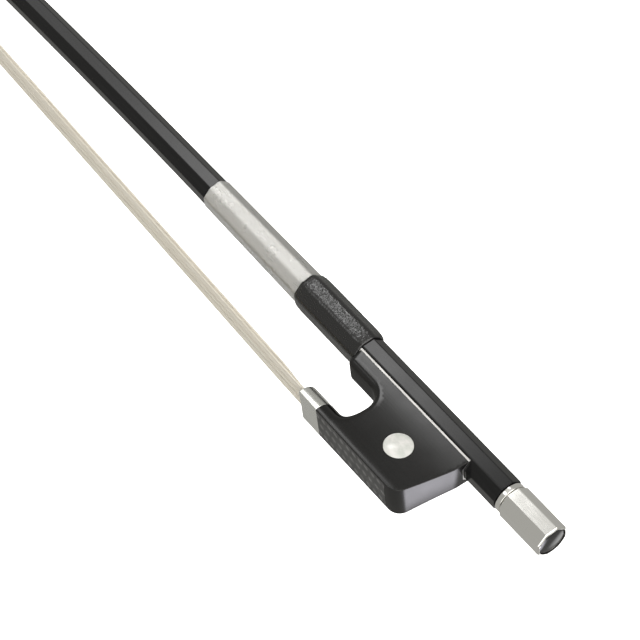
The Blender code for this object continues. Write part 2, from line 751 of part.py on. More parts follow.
def hair_half_width(x):
    """Half the ribbon's width: it spreads from each mortise and is widest at the ferrule."""
    if x > FERRULE_MOUTH:
        share = min(1, (x - FERRULE_MOUTH) / (FROG_MORTISE_FRONT - FERRULE_MOUTH))
        narrow = FROG_MORTISE_WIDTH - 2 * HAIR_SIDE_ROOM
        return (HAIR_WIDTH_FROG + share * (narrow - HAIR_WIDTH_FROG)) / 2
    plate_rear = TIP_X + HEAD_LENGTH
    mortise_rear = TIP_X + HEAD_MORTISE_FROM_TIP + MORTISE_LENGTH
    if x < plate_rear:
        share = min(1, (plate_rear - x) / (plate_rear - mortise_rear))
        narrow = HEAD_MORTISE_WIDTH - 2 * HAIR_SIDE_ROOM
        return (HAIR_WIDTH_HEAD + share * (narrow - HAIR_WIDTH_HEAD)) / 2
    share = (FERRULE_MOUTH - x) / (FERRULE_MOUTH - plate_rear)
    return (HAIR_WIDTH_FROG + share * (HAIR_WIDTH_HEAD - HAIR_WIDTH_FROG)) / 2


def hair_channel_plan():
    front = FERRULE_MOUTH - 0.001
    return mirrored(
        [
            (front, HAIR_WIDTH_FROG / 2 + GAP),
            (FERRULE_REAR, hair_half_width(FERRULE_REAR) + GAP),
            (FROG_MORTISE_FRONT + HAIR_SIDE_ROOM, hair_half_width(FROG_MORTISE_FRONT) + GAP),
        ]
    )


# Spread wedge between the hair and the tongue
WEDGE_REAR = FERRULE_MOUTH + WEDGE_LENGTH
WEDGE_LOW = HAIR_Y + HAIR_THICKNESS / 2 + GAP
WEDGE_TOP = WEDGE_LOW + WEDGE_THICKNESS

make_frog()


def make_ferrule():
    ferrule = slab(d_section(0), FERRULE_MOUTH, FERRULE_REAR, END_VIEW)
    ferrule = put("ferrule", ferrule, SILVER, FROG, smooth=True)
    inside = slab(d_section(FERRULE_WALL), FERRULE_MOUTH - 0.001, FERRULE_REAR + 0.001, END_VIEW)
    cut(ferrule, put("ferrule_inside", inside, None, FROG))
    half = HAIR_WIDTH_FROG / 2 - WEDGE_SIDE_ROOM
    wedge = box((FERRULE_MOUTH + 3 * GAP, WEDGE_LOW, -half), (WEDGE_REAR, WEDGE_TOP, half))
    put("spread_wedge", wedge, WOOD, FROG)


make_ferrule()


def make_slide():
    """The inlay that shows on the underside, and the thin backing that carries it under the ferrule."""
    base = -FROG_DEPTH
    inlay = slab(slide_plan(SLIDE_FRONT), base, base + SLIDE_INLAY_THICKNESS, PLAN_VIEW)
    put("slide_inlay", inlay, DARK_PEARL, FROG)
    low = base + SLIDE_INLAY_THICKNESS + GAP
    inner = FROG_BASE_WIDTH_FRONT / 2 - FERRULE_WALL - GAP
    rear_half = base_half_width(SLIDE_REAR) - SLIDE_MARGIN
    plan = mirrored(
        [
            (BACKING_FRONT, min(inner, base_half_width(BACKING_FRONT) - SLIDE_MARGIN) - GAP),
            (FERRULE_REAR, min(inner, base_half_width(FERRULE_REAR) - SLIDE_MARGIN) - GAP),
            (SLIDE_REAR, rear_half),
        ]
    )
    backing = slab(plan, low, low + SLIDE_BACKING_THICKNESS, PLAN_VIEW)
    put("slide_backing", backing, EBONY, FROG)


make_slide()


def underslide_outline():
    """The lining in the end view: three facets under the stick, ending at the frog's sides."""
    half = FROG_RAIL_WIDTH / 2 - GAP / 2
    points = []
    for reach, side in ((CHANNEL_IN, 1), (CHANNEL_OUT, -1)):
        edge = reach * math.sqrt(2) - half
        corner = reach * math.tan(math.pi / 8)
        row = [(-edge, half), (-reach, corner), (-reach, -corner), (-edge, -half)]
        points += row if side == 1 else row[::-1]
    return points


def make_underslide():
    lining = slab(underslide_outline(), RAIL_FRONT + GAP, RAIL_REAR - GAP, END_VIEW)
    lining = put("underslide", lining, SILVER, FROG)
    shank = rod(EYELET_SHANK_RADIUS + GAP, -FROG_DEPTH, 0, ALONG_Y, (-EYELET_AT, 0, 0))
    cut(lining, put("underslide_shank_hole", shank, None, FROG))
    body = bpy.data.objects["frog_body"]
    top = -CHANNEL_IN - GAP
    places = {"front": RAIL_FRONT + UNDERSLIDE_PIN_INSET, "rear": RAIL_REAR - UNDERSLIDE_PIN_INSET}
    for end, x in places.items():
        name = "underslide_pin_" + end
        pin = rod(UNDERSLIDE_PIN_RADIUS, top - UNDERSLIDE_PIN_LENGTH, top, ALONG_Y, (x, 0, 0), sides=16)
        put(name, pin, SILVER, FROG, smooth=True)
        bottom = top - UNDERSLIDE_PIN_LENGTH - GAP
        hole = rod(UNDERSLIDE_PIN_RADIUS + GAP, bottom, 0, ALONG_Y, (x, 0, 0), sides=16)
        hole = put(name + "_hole", hole, None, FROG)
        cut(lining, hole)
        cut(body, hole)


make_underslide()


def make_frog_eyes():
    """A plain round dot let into each hollow side."""
    body = bpy.data.objects["frog_body"]
    x = RAIL_REAR - FROG_EYE_FROM_HEEL
    step = 0.001
    face = side_half_width(x, FROG_EYE_DEPTH)
    rise = side_half_width(x, FROG_EYE_DEPTH + step) - side_half_width(x, FROG_EYE_DEPTH - step)
    lean = math.atan(rise / (2 * step))
    for name, side in (("left", 1), ("right", -1)):
        place = Matrix.Translation((x, -FROG_EYE_DEPTH, side * face))
        place = place @ Matrix.Rotation(-side * lean, 4, "X")
        dot = rod(FROG_EYE_RADIUS, -FROG_EYE_THICKNESS, FROG_EYE_PROUD, Matrix.Identity(4))
        seat = rod(FROG_EYE_RADIUS + GAP, -FROG_EYE_THICKNESS - GAP, 0.002, Matrix.Identity(4))
        turn = Matrix.Identity(4) if side == 1 else Matrix.Rotation(math.pi, 4, "X")
        dot.transform(place @ turn)
        seat.transform(place @ turn)
        put("frog_eye_" + name, dot, PEARL, FROG, smooth=True)
        cut(body, put("frog_eye_seat_" + name, seat, None, FROG))


make_frog_eyes()


def make_eyelet():
    """The brass nut that rides on the screw inside the stick and is threaded into the frog."""
    half = EYELET_WIDTH / 2
    foot = -CHANNEL_IN + 3 * GAP
    outline = rounded(
        [
            (foot, -half, 0),
            (EYELET_TOP, -half, half * 0.7),
            (EYELET_TOP, half, half * 0.7),
            (foot, half, 0),
        ]
    )
    front = -EYELET_AT - EYELET_LENGTH / 2
    eyelet = slab(outline, front, front + EYELET_LENGTH, END_VIEW)
    eyelet = put("eyelet", eyelet, BRASS, FROG)
    shank_end = -CHANNEL_IN - EYELET_SHANK_LENGTH
    shank = rod(EYELET_SHANK_RADIUS, shank_end, foot + 4 * GAP, ALONG_Y, (-EYELET_AT, 0, 0))
    boolean(eyelet, put("eyelet_shank", shank, None, FROG), "UNION")
    bore = rod(SCREW_RADIUS + SCREW_CLEARANCE, front - 0.001, front + EYELET_LENGTH + 0.001)
    cut(eyelet, put("eyelet_bore", bore, None, FROG))


make_eyelet()

# Hair with its knots and plugs


def hair_path():
    """The ribbon's middle line in the side view, from the head's mortise to the frog's mortise."""
    steps = 6
    radius = HAIR_THICKNESS / 2 + GAP
    rise = MORTISE_DEPTH * 0.5
    middle = -HAIR_THICKNESS / 2 - GAP
    wall = HEAD_MORTISE_FROM_TIP + MORTISE_LENGTH - GAP - HAIR_THICKNESS / 2
    head = [(wall, middle + radius + rise)]
    turns = [math.pi / 2 * k / steps for k in range(steps + 1)]
    head += [(wall + radius * (1 - math.cos(a)), middle + radius * (1 - math.sin(a))) for a in turns]
    head.append((HEAD_LENGTH, middle))
    points = [HEAD_PLACE @ Vector((u, v, 0)) for u, v in head]
    points = [(p.x, p.y) for p in points]
    first_free = TIP_X + HEAD_LENGTH
    free_steps = 12
    span = FERRULE_MOUTH - first_free
    free = [first_free + span * k / free_steps for k in range(1, free_steps + 1)]
    points += [(x, hair_y(x)) for x in free]
    wall = FROG_MORTISE_FRONT + GAP + HAIR_THICKNESS / 2
    points += [(wall - radius * (1 - math.sin(a)), HAIR_Y + radius * (1 - math.cos(a))) for a in turns]
    points.append((wall, HAIR_Y + radius + rise))
    return points


def make_hair():
    bm = bmesh.new()
    rows = []
    for x, y in hair_path():
        half = hair_half_width(x)
        rows.append((bm.verts.new((x, y, -half)), bm.verts.new((x, y, half))))
    for (a, b), (c, d) in zip(rows, rows[1:]):
        bm.faces.new((a, b, d, c))
    hair = put("hair", bm, HAIR, FRAME)
    thick = hair.modifiers.new("ribbon", "SOLIDIFY")
    thick.thickness = HAIR_THICKNESS
    thick.offset = 0
    thick.use_even_offset = True


make_hair()


def make_knot(name, place, parent):
    """Singed ends of the hair tied off with thread, and the ring of thread round them."""
    neck_height = PLUG_DEPTH * 0.35
    bulb_height = MORTISE_DEPTH * 0.22
    neck = rod(KNOT_NECK_RADIUS, 0, neck_height, Matrix.Identity(4), sides=16)
    bulb = rod(KNOT_RADIUS, neck_height, neck_height + bulb_height, Matrix.Identity(4),
               end_radius=KNOT_RADIUS * 0.6, sides=16)
    lower = put(name + "_hair_knot", neck, HAIR, parent, smooth=True)
    upper = put(name + "_knot_bulb", bulb, None, parent)
    tie = rod(KNOT_NECK_RADIUS + GAP + BINDING_WALL, GAP, neck_height - GAP, Matrix.Identity(4), sides=16)
    tie = put(name + "_knot_binding", tie, THREAD, parent, smooth=True)
    hole = rod(KNOT_NECK_RADIUS + GAP, -neck_height, 2 * neck_height, Matrix.Identity(4), sides=16)
    hole = put(name + "_binding_hole", hole, None, parent)
    for piece in (lower, upper, tie, hole):
        piece.matrix_local = place
    boolean(lower, upper, "UNION")
    cut(tie, hole)


UPRIGHT = Matrix.Rotation(-math.pi / 2, 4, "X")


def make_mortise_fillings():
    """In each mortise a plug holds the hair against the wall, with the knot above it."""
    room = HAIR_THICKNESS + 3 * GAP
    half = HEAD_MORTISE_WIDTH / 2 - GAP
    first = HEAD_MORTISE_FROM_TIP + GAP
    last = HEAD_MORTISE_FROM_TIP + MORTISE_LENGTH - room
    plug = put("head_plug", box((first, 0, -half), (last, PLUG_DEPTH, half)), WOOD)
    plug.matrix_local = HEAD_PLACE
    stand = (first + KNOT_RADIUS + 2 * GAP, PLUG_DEPTH + GAP, 0)
    make_knot("head", HEAD_PLACE @ Matrix.Translation(stand) @ UPRIGHT, FRAME)
    half = FROG_MORTISE_WIDTH / 2 - GAP
    first = FROG_MORTISE_FRONT + room
    last = FROG_MORTISE_REAR - GAP
    low = SLIDE_BED + GAP
    high = low + PLUG_DEPTH
    put("frog_plug", box((first, low, -half), (last, high, half)), WOOD, FROG)
    stand = (last - KNOT_RADIUS - 2 * GAP, high + GAP, 0)
    make_knot("frog", Matrix.Translation(stand) @ UPRIGHT, FROG)


make_mortise_fillings()

# Screw and button


def make_adjuster():
    screw_end = BUTTON_START + SCREW_INTO_BUTTON
    put("screw", rod(SCREW_RADIUS, -SCREW_TIP, screw_end), STEEL, ADJUSTER, smooth=True)
    eye_back = BUTTON_END - BUTTON_EYE_THICKNESS - GAP
    shell = put("button_shell", octagon_bar(BUTTON_FLATS, BUTTON_START, BUTTON_END), SILVER, ADJUSTER)
    edge = shell.modifiers.new("edges", "BEVEL")
    edge.width = BUTTON_CHAMFER
    edge.segments = 1
    edge.limit_method = "ANGLE"
    edge.angle_limit = math.radians(60)
    bore = rod(BUTTON_SHELL_BORE, BUTTON_START - 0.001, BUTTON_END + 0.001)
    eye_seat = rod(BUTTON_EYE_RADIUS + GAP, eye_back, BUTTON_END + 0.001)
    cut(shell, put("shell_bore", bore, None, ADJUSTER), put("eye_seat", eye_seat, None, ADJUSTER))
    core = rod(BUTTON_SHELL_BORE - GAP, BUTTON_START + GAP, eye_back - GAP)
    core = put("button_core", core, EBONY, ADJUSTER, smooth=True)
    hole = rod(SCREW_RADIUS + GAP, BUTTON_START - 0.001, screw_end + GAP)
    cut(core, put("core_hole", hole, None, ADJUSTER))
    collar = rod(COLLAR_RADIUS, COLLAR_GAP, COLLAR_GAP + COLLAR_LENGTH)
    collar = put("button_collar", collar, SILVER, ADJUSTER, smooth=True)
    opening = rod(NIPPLE_RADIUS + GAP, -NIPPLE_LENGTH, 2 * BUTTON_START)
    cut(collar, put("collar_bore", opening, None, ADJUSTER))


make_adjuster()


def make_button_eye():
    """The domed dark eye in the button's end, turned from its profile."""
    bm = bmesh.new()
    back = BUTTON_END - BUTTON_EYE_THICKNESS
    rim = BUTTON_END - BUTTON_EYE_DOME
    steps = 5
    turns = [math.pi / 2 * k / steps for k in range(steps + 1)]
    profile = [(BUTTON_EYE_RADIUS * math.sin(a), rim + BUTTON_EYE_DOME * math.cos(a)) for a in turns]
    profile += [(BUTTON_EYE_RADIUS, back), (0, back)]
    spots = [bm.verts.new((radius, 0, height)) for radius, height in profile]
    for a, b in zip(spots, spots[1:]):
        bm.edges.new((a, b))
    mesh = bpy.data.meshes.new("button_eye")
    bm.to_mesh(mesh)
    bm.free()
    eye = bpy.data.objects.new("button_eye", mesh)
    bow.objects.link(eye)
    eye.parent = ADJUSTER
    eye.matrix_local = ALONG_X
    mesh.materials.append(DARK_PEARL)
    turned = eye.modifiers.new("turned", "SCREW")
    turned.axis = "Z"
    turned.steps = ROUND_SIDES
    turned.render_steps = ROUND_SIDES
    turned.use_merge_vertices = True
    turned.merge_threshold = 0.00001


make_button_eye()


def set_on_base():
    """Moves the whole bow so that the middle of its lowest level is the origin."""
    bpy.context.view_layer.update()
    graph = bpy.context.evaluated_depsgraph_get()
    low = Vector((math.inf,) * 3)
    high = Vector((-math.inf,) * 3)
    for obj in bow.objects:
        if obj.type != "MESH":
            continue
        evaluated = obj.evaluated_get(graph)
        for vertex in evaluated.data.vertices:
            spot = evaluated.matrix_world @ vertex.co
            low = Vector(map(min, low, spot))
            high = Vector(map(max, high, spot))
    middle = (low + high) / 2
    FRAME.location = (-middle.x, -middle.y, -low.z)
    print("bow", *(f"{1000 * side:.2f}" for side in high - low), "mm")
    print("stick end at", *(f"{1000 * value:.4f}" for value in FRAME.location), "mm")


set_on_base()
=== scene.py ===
# %% [markdown]
# # Dressing a viola bow
#
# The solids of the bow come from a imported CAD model, and this script gives them their looks: black
# lacquer, ebony, silver, wire, leather and horsehair. The frame loads first and never moves. Every new
# piece is modelled in the same metres, so it drops straight onto the part that it covers.

import json
import math

import bmesh
import bpy
from mathutils import Matrix, Vector, geometry, noise


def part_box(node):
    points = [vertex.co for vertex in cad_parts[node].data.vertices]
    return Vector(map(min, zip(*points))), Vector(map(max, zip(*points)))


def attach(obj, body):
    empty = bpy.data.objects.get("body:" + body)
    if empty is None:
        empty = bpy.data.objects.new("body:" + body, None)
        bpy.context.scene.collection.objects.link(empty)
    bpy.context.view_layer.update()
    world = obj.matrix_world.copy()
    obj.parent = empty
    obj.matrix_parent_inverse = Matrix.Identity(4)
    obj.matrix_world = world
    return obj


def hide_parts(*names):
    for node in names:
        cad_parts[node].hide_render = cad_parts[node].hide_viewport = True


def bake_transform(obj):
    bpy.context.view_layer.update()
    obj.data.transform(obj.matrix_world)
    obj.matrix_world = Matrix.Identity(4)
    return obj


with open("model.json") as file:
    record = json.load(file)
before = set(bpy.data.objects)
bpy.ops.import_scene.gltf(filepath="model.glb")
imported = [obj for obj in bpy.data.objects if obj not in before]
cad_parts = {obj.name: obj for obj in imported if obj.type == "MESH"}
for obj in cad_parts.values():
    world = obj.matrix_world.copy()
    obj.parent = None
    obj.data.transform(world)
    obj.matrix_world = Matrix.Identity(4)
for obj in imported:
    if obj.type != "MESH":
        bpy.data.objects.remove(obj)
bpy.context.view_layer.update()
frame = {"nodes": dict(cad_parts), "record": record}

# %% [markdown]
# ## Where the bow lies
#
# Bow makers measure from the end of the stick, where the button begins, and from the stick's own axis.
# We read both from the frame, so that a length such as 58 mm to the front of the frog can be typed as
# it would be at the bench. The helper `at` turns such a measure into a place in the frame.

# %% Bench measures
GAP = 0.0001
NIPPLE_LENGTH = 0.0012
screw_low, screw_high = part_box("screw")
AXIS_Y = (screw_low.y + screw_high.y) / 2
MIDDLE_Z = (screw_low.z + screw_high.z) / 2
STICK_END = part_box("stick")[1].x - NIPPLE_LENGTH
ORIGIN = Vector((STICK_END, AXIS_Y, MIDDLE_Z))


def at(x, y=0.0, z=0.0):
    """A place measured from the stick's end, above its axis and out of the frog's side."""
    return ORIGIN + Vector((x, y, z))


def along(node):
    """A node's two ends along the stick, measured from the stick's end."""
    low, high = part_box(node)
    return low.x - STICK_END, high.x - STICK_END


print("stick's end at", [round(1000 * c, 3) for c in ORIGIN], "mm")

# %% [markdown]
# ## The camera
#
# The photograph was taken with a long lens from above the frog's side, and the camera leans a little.
# A camera in Blender looks down its own -Z, so the view direction becomes a rotation with
# `to_track_quat`, and the lean is one more turn about the line of sight.

# %% Camera
VIEW_AZIMUTH = math.radians(59.767)
VIEW_ELEVATION = math.radians(53.854)
VIEW_LEAN = math.radians(-7.976)
CAMERA_AT = Vector((0.61152, -0.193164, 0.53187))
FOCAL_LENGTH = 135.83

camera_data = bpy.data.cameras.new("camera")
camera_data.sensor_width = 36
camera_data.lens = FOCAL_LENGTH
camera_data.clip_start = 0.02
camera = bpy.data.objects.new("camera", camera_data)
bpy.context.scene.collection.objects.link(camera)
toward_camera = Vector(
    (
        math.sin(VIEW_AZIMUTH) * math.cos(VIEW_ELEVATION),
        -math.cos(VIEW_AZIMUTH) * math.cos(VIEW_ELEVATION),
        math.sin(VIEW_ELEVATION),
    )
)
aim = (-toward_camera).to_track_quat("-Z", "Y").to_matrix().to_4x4()
camera.matrix_world = Matrix.Translation(CAMERA_AT) @ aim @ Matrix.Rotation(VIEW_LEAN, 4, "Z")
bpy.context.scene.camera = camera
print("camera", round(1000 * (CAMERA_AT - ORIGIN).length), "mm from the stick's end")

# %% [markdown]
# ## A helper for nodes
#
# The room, the finishes and the winding are all trees of nodes. Every node in them needs its settings,
# and each of its inputs takes either a plain value or a link from another node. One helper does all of
# that, and a second one makes Math nodes, which are the most common kind.

# %% Node helpers
def node(tree, kind, inputs=(), **settings):
    """A node with its settings, and its inputs linked or set, by index or name."""
    made = tree.nodes.new(kind)
    for label, value in settings.items():
        setattr(made, label, value)
    for socket, value in dict(inputs).items():
        if isinstance(value, bpy.types.NodeSocket):
            tree.links.new(value, made.inputs[socket])
        else:
            made.inputs[socket].default_value = value
    return made


def maths(tree, operation, *values):
    """A Math node whose inputs are numbers or sockets."""
    return node(tree, "ShaderNodeMath", enumerate(values), operation=operation).outputs[0]


print("node helpers ready")

# %% [markdown]
# ## The studio
#
# Polished black and silver show little of their own colour: what we see in them is the room. So the
# light is a room of soft boxes, written into the world's shader. Each box is a direction, two angles
# between which it fades, and a strength. A dot product of the direction that a ray goes in with the
# direction of the box says how far off the box it points. To the eye of the camera the room is white.

# %% Soft boxes in the world
ROOM_COLOUR = (0.40, 0.396, 0.375)
SOFT_BOXES = {
    "over_the_frog": ((-0.520, 0.30, 0.80), 1.5, 6.5, 4.4, (1.0, 1.0, 1.0)),
    "over_the_winding": ((-0.63, 0.27, 0.73), 2, 9, 1.2, (1.0, 1.0, 1.0)),
    "overhead": ((-0.36, 0.17, 0.92), 9, 27, 0.3, (1.0, 1.0, 0.99)),
    "beside_the_camera": ((0.60, 0.10, 0.79), 16, 42, 2.2, (1.0, 0.99, 0.96)),
    "along_the_edge": ((-0.42, -0.36, 0.83), 4, 12, 1.5, (1.0, 1.0, 1.0)),
    "behind_the_heel": ((0.60, 0.06, -0.80), 4, 13, 4.8, (0.94, 0.92, 1.0)),
    "below_the_hair": ((0.62, -0.70, 0.35), 15, 35, 1.4, (1.0, 0.99, 0.96)),
    "behind_the_button": ((0.30, 0.42, -0.855), 3, 9, 1.5, (1.0, 1.0, 1.0)),
}

world = bpy.data.worlds.new("studio")
bpy.context.scene.world = world
world.use_nodes = True
tree = world.node_tree
tree.nodes.clear()
heading = node(tree, "ShaderNodeTexCoord").outputs["Generated"]
light = ROOM_COLOUR
for name, (direction, inner, outer, strength, tint) in SOFT_BOXES.items():
    toward_box = Vector(direction).normalized()
    facing = node(tree, "ShaderNodeVectorMath", {0: heading, 1: toward_box}, operation="DOT_PRODUCT")
    limits = {"From Min": math.cos(math.radians(outer)), "From Max": math.cos(math.radians(inner))}
    fade = node(
        tree,
        "ShaderNodeMapRange",
        {"Value": facing.outputs["Value"], **limits, "To Max": strength},
        interpolation_type="SMOOTHSTEP",
    )
    layers = {0: fade.outputs["Result"], 1: tint, 2: light}
    light = node(tree, "ShaderNodeVectorMath", layers, operation="MULTIPLY_ADD", label=name).outputs[0]
room = node(tree, "ShaderNodeBackground", {"Color": light})
white = node(tree, "ShaderNodeBackground", {"Color": (1, 1, 1, 1)})
ray = node(tree, "ShaderNodeLightPath").outputs["Is Camera Ray"]
choose = node(tree, "ShaderNodeMixShader", {"Fac": ray, 1: room.outputs[0], 2: white.outputs[0]})
node(tree, "ShaderNodeOutputWorld", {"Surface": choose.outputs["Shader"]})
bpy.context.scene.view_settings.view_transform = "Standard"
print("studio:", ", ".join(SOFT_BOXES))

# %% [markdown]
# ## The floor
#
# The photograph has a plain white ground without a shadow, as over a light table. The floor is a wide
# sheet well under the bow that glows white, and only the camera sees it, so it neither darkens nor
# tints the silver.

# %% Floor
FLOOR_DROP = 0.25
FLOOR_SPAN = 6.0

floor_mesh = bmesh.new()
bmesh.ops.create_grid(floor_mesh, x_segments=2, y_segments=2, size=FLOOR_SPAN / 2)
floor_data = bpy.data.meshes.new("floor")
floor_mesh.to_mesh(floor_data)
floor = bpy.data.objects.new("floor", floor_data)
bpy.context.scene.collection.objects.link(floor)
floor.location.z = -FLOOR_DROP
floor.visible_diffuse = False
floor.visible_glossy = False
floor.visible_shadow = False
paper = bpy.data.materials.new("white_ground")
paper.use_nodes = True
paper_shader = paper.node_tree.nodes["Principled BSDF"]
paper_shader.inputs["Base Color"].default_value = (0.9, 0.9, 0.9, 1)
paper_shader.inputs["Roughness"].default_value = 0.8
paper_shader.inputs["Emission Color"].default_value = (1, 1, 1, 1)
paper_shader.inputs["Emission Strength"].default_value = 1.0
floor_data.materials.append(paper)
print("floor", FLOOR_SPAN, "m wide")

# %% [markdown]
# ## Shader groups
#
# Three effects come back in many finishes: the faint unevenness of a hand-polished surface, fibres that
# run along the stick, and the fine lines that a polishing wheel leaves in metal. Each is a node group
# with named inputs, built once, and every material that uses it sets its own values.

# %% Helpers for groups and materials
def new_group(name, inputs, outputs):
    """An empty shader group with named value inputs and outputs, and its two end nodes."""
    group = bpy.data.node_groups.new(name, "ShaderNodeTree")
    for label, value in inputs.items():
        socket = group.interface.new_socket(label, in_out="INPUT", socket_type="NodeSocketFloat")
        socket.default_value = value
    for label in outputs:
        group.interface.new_socket(label, in_out="OUTPUT", socket_type="NodeSocketFloat")
    return group, group.nodes.new("NodeGroupInput"), group.nodes.new("NodeGroupOutput")


def object_space(tree):
    """Places on a piece in its own coordinates."""
    return node(tree, "ShaderNodeTexCoord").outputs["Object"]


def stretched_noise(tree, scale, stretch, detail=2.0):
    """Noise on object coordinates, drawn out along the axes by the stretch factors."""
    mapping = node(tree, "ShaderNodeMapping", {"Vector": object_space(tree), "Scale": stretch})
    texture = {"Vector": mapping.outputs["Vector"], "Scale": scale, "Detail": detail}
    return node(tree, "ShaderNodeTexNoise", texture).outputs["Fac"]


def map_range(tree, value, low, high, from_low=0.3, from_high=0.7):
    """Stretches a mask between two values, which may be numbers or sockets."""
    ends = {"From Min": from_low, "From Max": from_high, "To Min": low, "To Max": high}
    return node(tree, "ShaderNodeMapRange", {"Value": value, **ends}).outputs["Result"]


print("group helpers ready")

# %% [markdown]
# Polish is never quite even. A broad, soft noise moves the roughness between two values, and the
# reflections in the lacquer and the ebony lose the dead look of a perfect mirror.

# %% Group: uneven polish
polish, polish_in, polish_out = new_group(
    "uneven_polish", {"Scale": 60.0, "Smoothest": 0.1, "Roughest": 0.2}, ["Roughness"]
)
clouds = stretched_noise(polish, polish_in.outputs["Scale"], (1, 1, 1), 3.0)
level = map_range(polish, clouds, polish_in.outputs["Smoothest"], polish_in.outputs["Roughest"])
polish.links.new(level, polish_out.inputs["Roughness"])
print("group", polish.name)

# %% [markdown]
# Wood fibres, drawn wire and wheel marks are all the same idea: noise that is long one way and fine
# the other. The group stretches it along the bow.

# %% Group: long fibres
FIBRE_STRETCH = (0.04, 1, 1)

fibres, fibres_in, fibres_out = new_group("long_fibres", {"Scale": 2600.0}, ["Mask", "Height"])
strand = stretched_noise(fibres, fibres_in.outputs["Scale"], FIBRE_STRETCH, 4.0)
fibres.links.new(map_range(fibres, strand, 0, 1), fibres_out.inputs["Mask"])
fibres.links.new(strand, fibres_out.inputs["Height"])
print("group", fibres.name)

# %% [markdown]
# Silver that is handled picks up hairlines and a faint haze. The group mixes fine lines with broad
# clouds into one roughness.

# %% Group: handled metal
metal, metal_in, metal_out = new_group(
    "handled_metal", {"Shine": 0.1, "Haze": 0.2}, ["Roughness", "Height"]
)
hairlines = stretched_noise(metal, 5200.0, (0.05, 1, 1), 2.0)
haze = stretched_noise(metal, 180.0, (1, 1, 1), 3.0)
both = maths(metal, "MULTIPLY", map_range(metal, hairlines, 0.4, 1), map_range(metal, haze, 0.2, 1))
rough = map_range(metal, both, metal_in.outputs["Shine"], metal_in.outputs["Haze"], 0, 1)
metal.links.new(rough, metal_out.inputs["Roughness"])
metal.links.new(hairlines, metal_out.inputs["Height"])
print("group", metal.name)

# %% [markdown]
# ## Finishes
#
# A finish starts from the Principled shader. A small helper makes it and sets its plain values on its own
# sockets. The others plug in what many finishes share: a group, two tones, relief, uneven polish.

# %% Principled helper
FINISHES = {}


def new_finish(name, colour, **values):
    """A material with a Principled shader; values name its sockets with _ for a blank."""
    material = bpy.data.materials.new(name)
    material.use_nodes = True
    shader = material.node_tree.nodes["Principled BSDF"]
    shader.inputs["Base Color"].default_value = (*colour, 1)
    for label, value in values.items():
        shader.inputs[label.replace("_", " ")].default_value = value
    FINISHES[name] = material
    return material, material.node_tree, shader


def use_group(tree, group, **values):
    """The group as a node in a material, with this material's own values."""
    return node(tree, "ShaderNodeGroup", values, node_tree=group)


def two_tones(tree, mask, dark, light, shader):
    """The mask mixes two colours into the base colour."""
    tones = {"Factor": mask, 6: (*dark, 1), 7: (*light, 1)}
    mix = node(tree, "ShaderNodeMix", tones, data_type="RGBA")
    tree.links.new(mix.outputs[2], shader.inputs["Base Color"])


def relief(tree, height, shader, distance):
    """A Bump node from the height to the shader's normal."""
    bump = node(tree, "ShaderNodeBump", {"Height": height, "Distance": distance})
    tree.links.new(bump.outputs["Normal"], shader.inputs["Normal"])


def buff(tree, shader, scale, smoothest, roughest):
    """Uneven polish on the shader's roughness."""
    gloss = use_group(tree, polish, Scale=scale, Smoothest=smoothest, Roughest=roughest)
    tree.links.new(gloss.outputs["Roughness"], shader.inputs["Roughness"])


def soft_bands(tree, shader, scale, stretch, detail, dark, light):
    """Two tones in soft bands, as in shell, horn and bone."""
    bands = stretched_noise(tree, scale, stretch, detail)
    two_tones(tree, map_range(tree, bands, 0, 1), dark, light, shader)


print("finish helpers ready")

# %% [markdown]
# The stick is carbon fibre under a thin lacquer. The fibres only just show, so the base colour moves
# between two near-blacks along the stick, and the polish is a little uneven.

# %% Lacquered carbon
carbon, tree, shader = new_finish("lacquered_carbon", (0.005, 0.005, 0.0053), IOR=1.43)
mask = use_group(tree, fibres, Scale=1500.0)
two_tones(tree, mask.outputs["Mask"], (0.003, 0.003, 0.0032), (0.007, 0.007, 0.0073), shader)
buff(tree, shader, 90.0, 0.11, 0.15)
print("finish", carbon.name)

# %% [markdown]
# Ebony is nearly black, with brown-grey pores that run along the frog. The frog is oiled and buffed, so
# its roughness is a little higher than the lacquer's. The buff hardly reaches the throat and the
# underside: where the surface looks away from the stick, a mask from its normal adds roughness.

# %% Ebony
ebony, tree, shader = new_finish("ebony", (0.006, 0.0055, 0.0055), IOR=1.5)
grain = use_group(tree, fibres, Scale=2200.0)
two_tones(tree, grain.outputs["Mask"], (0.002, 0.0019, 0.0018), (0.006, 0.0056, 0.0053), shader)
gloss = use_group(tree, polish, Scale=120.0, Smoothest=0.13, Roughest=0.19)
facing = node(tree, "ShaderNodeNewGeometry").outputs["Normal"]
sides = node(tree, "ShaderNodeSeparateXYZ", {"Vector": facing})
unbuffed = map_range(tree, sides.outputs["Y"], 0.38, 0.0, -0.75, -0.15)
rough = maths(tree, "ADD", gloss.outputs["Roughness"], unbuffed)
tree.links.new(rough, shader.inputs["Roughness"])
relief(tree, grain.outputs["Height"], shader, 0.000004)
print("finish", ebony.name)

# %% [markdown]
# Silver comes in four states: bright on the button, satin on the ferrule, drawn as wire, and worn in the
# lining that the frog slides on. Steel and brass join them. All share the handled-metal group, and
# differ in colour, in how rough they may get and in how deep the hairlines are.

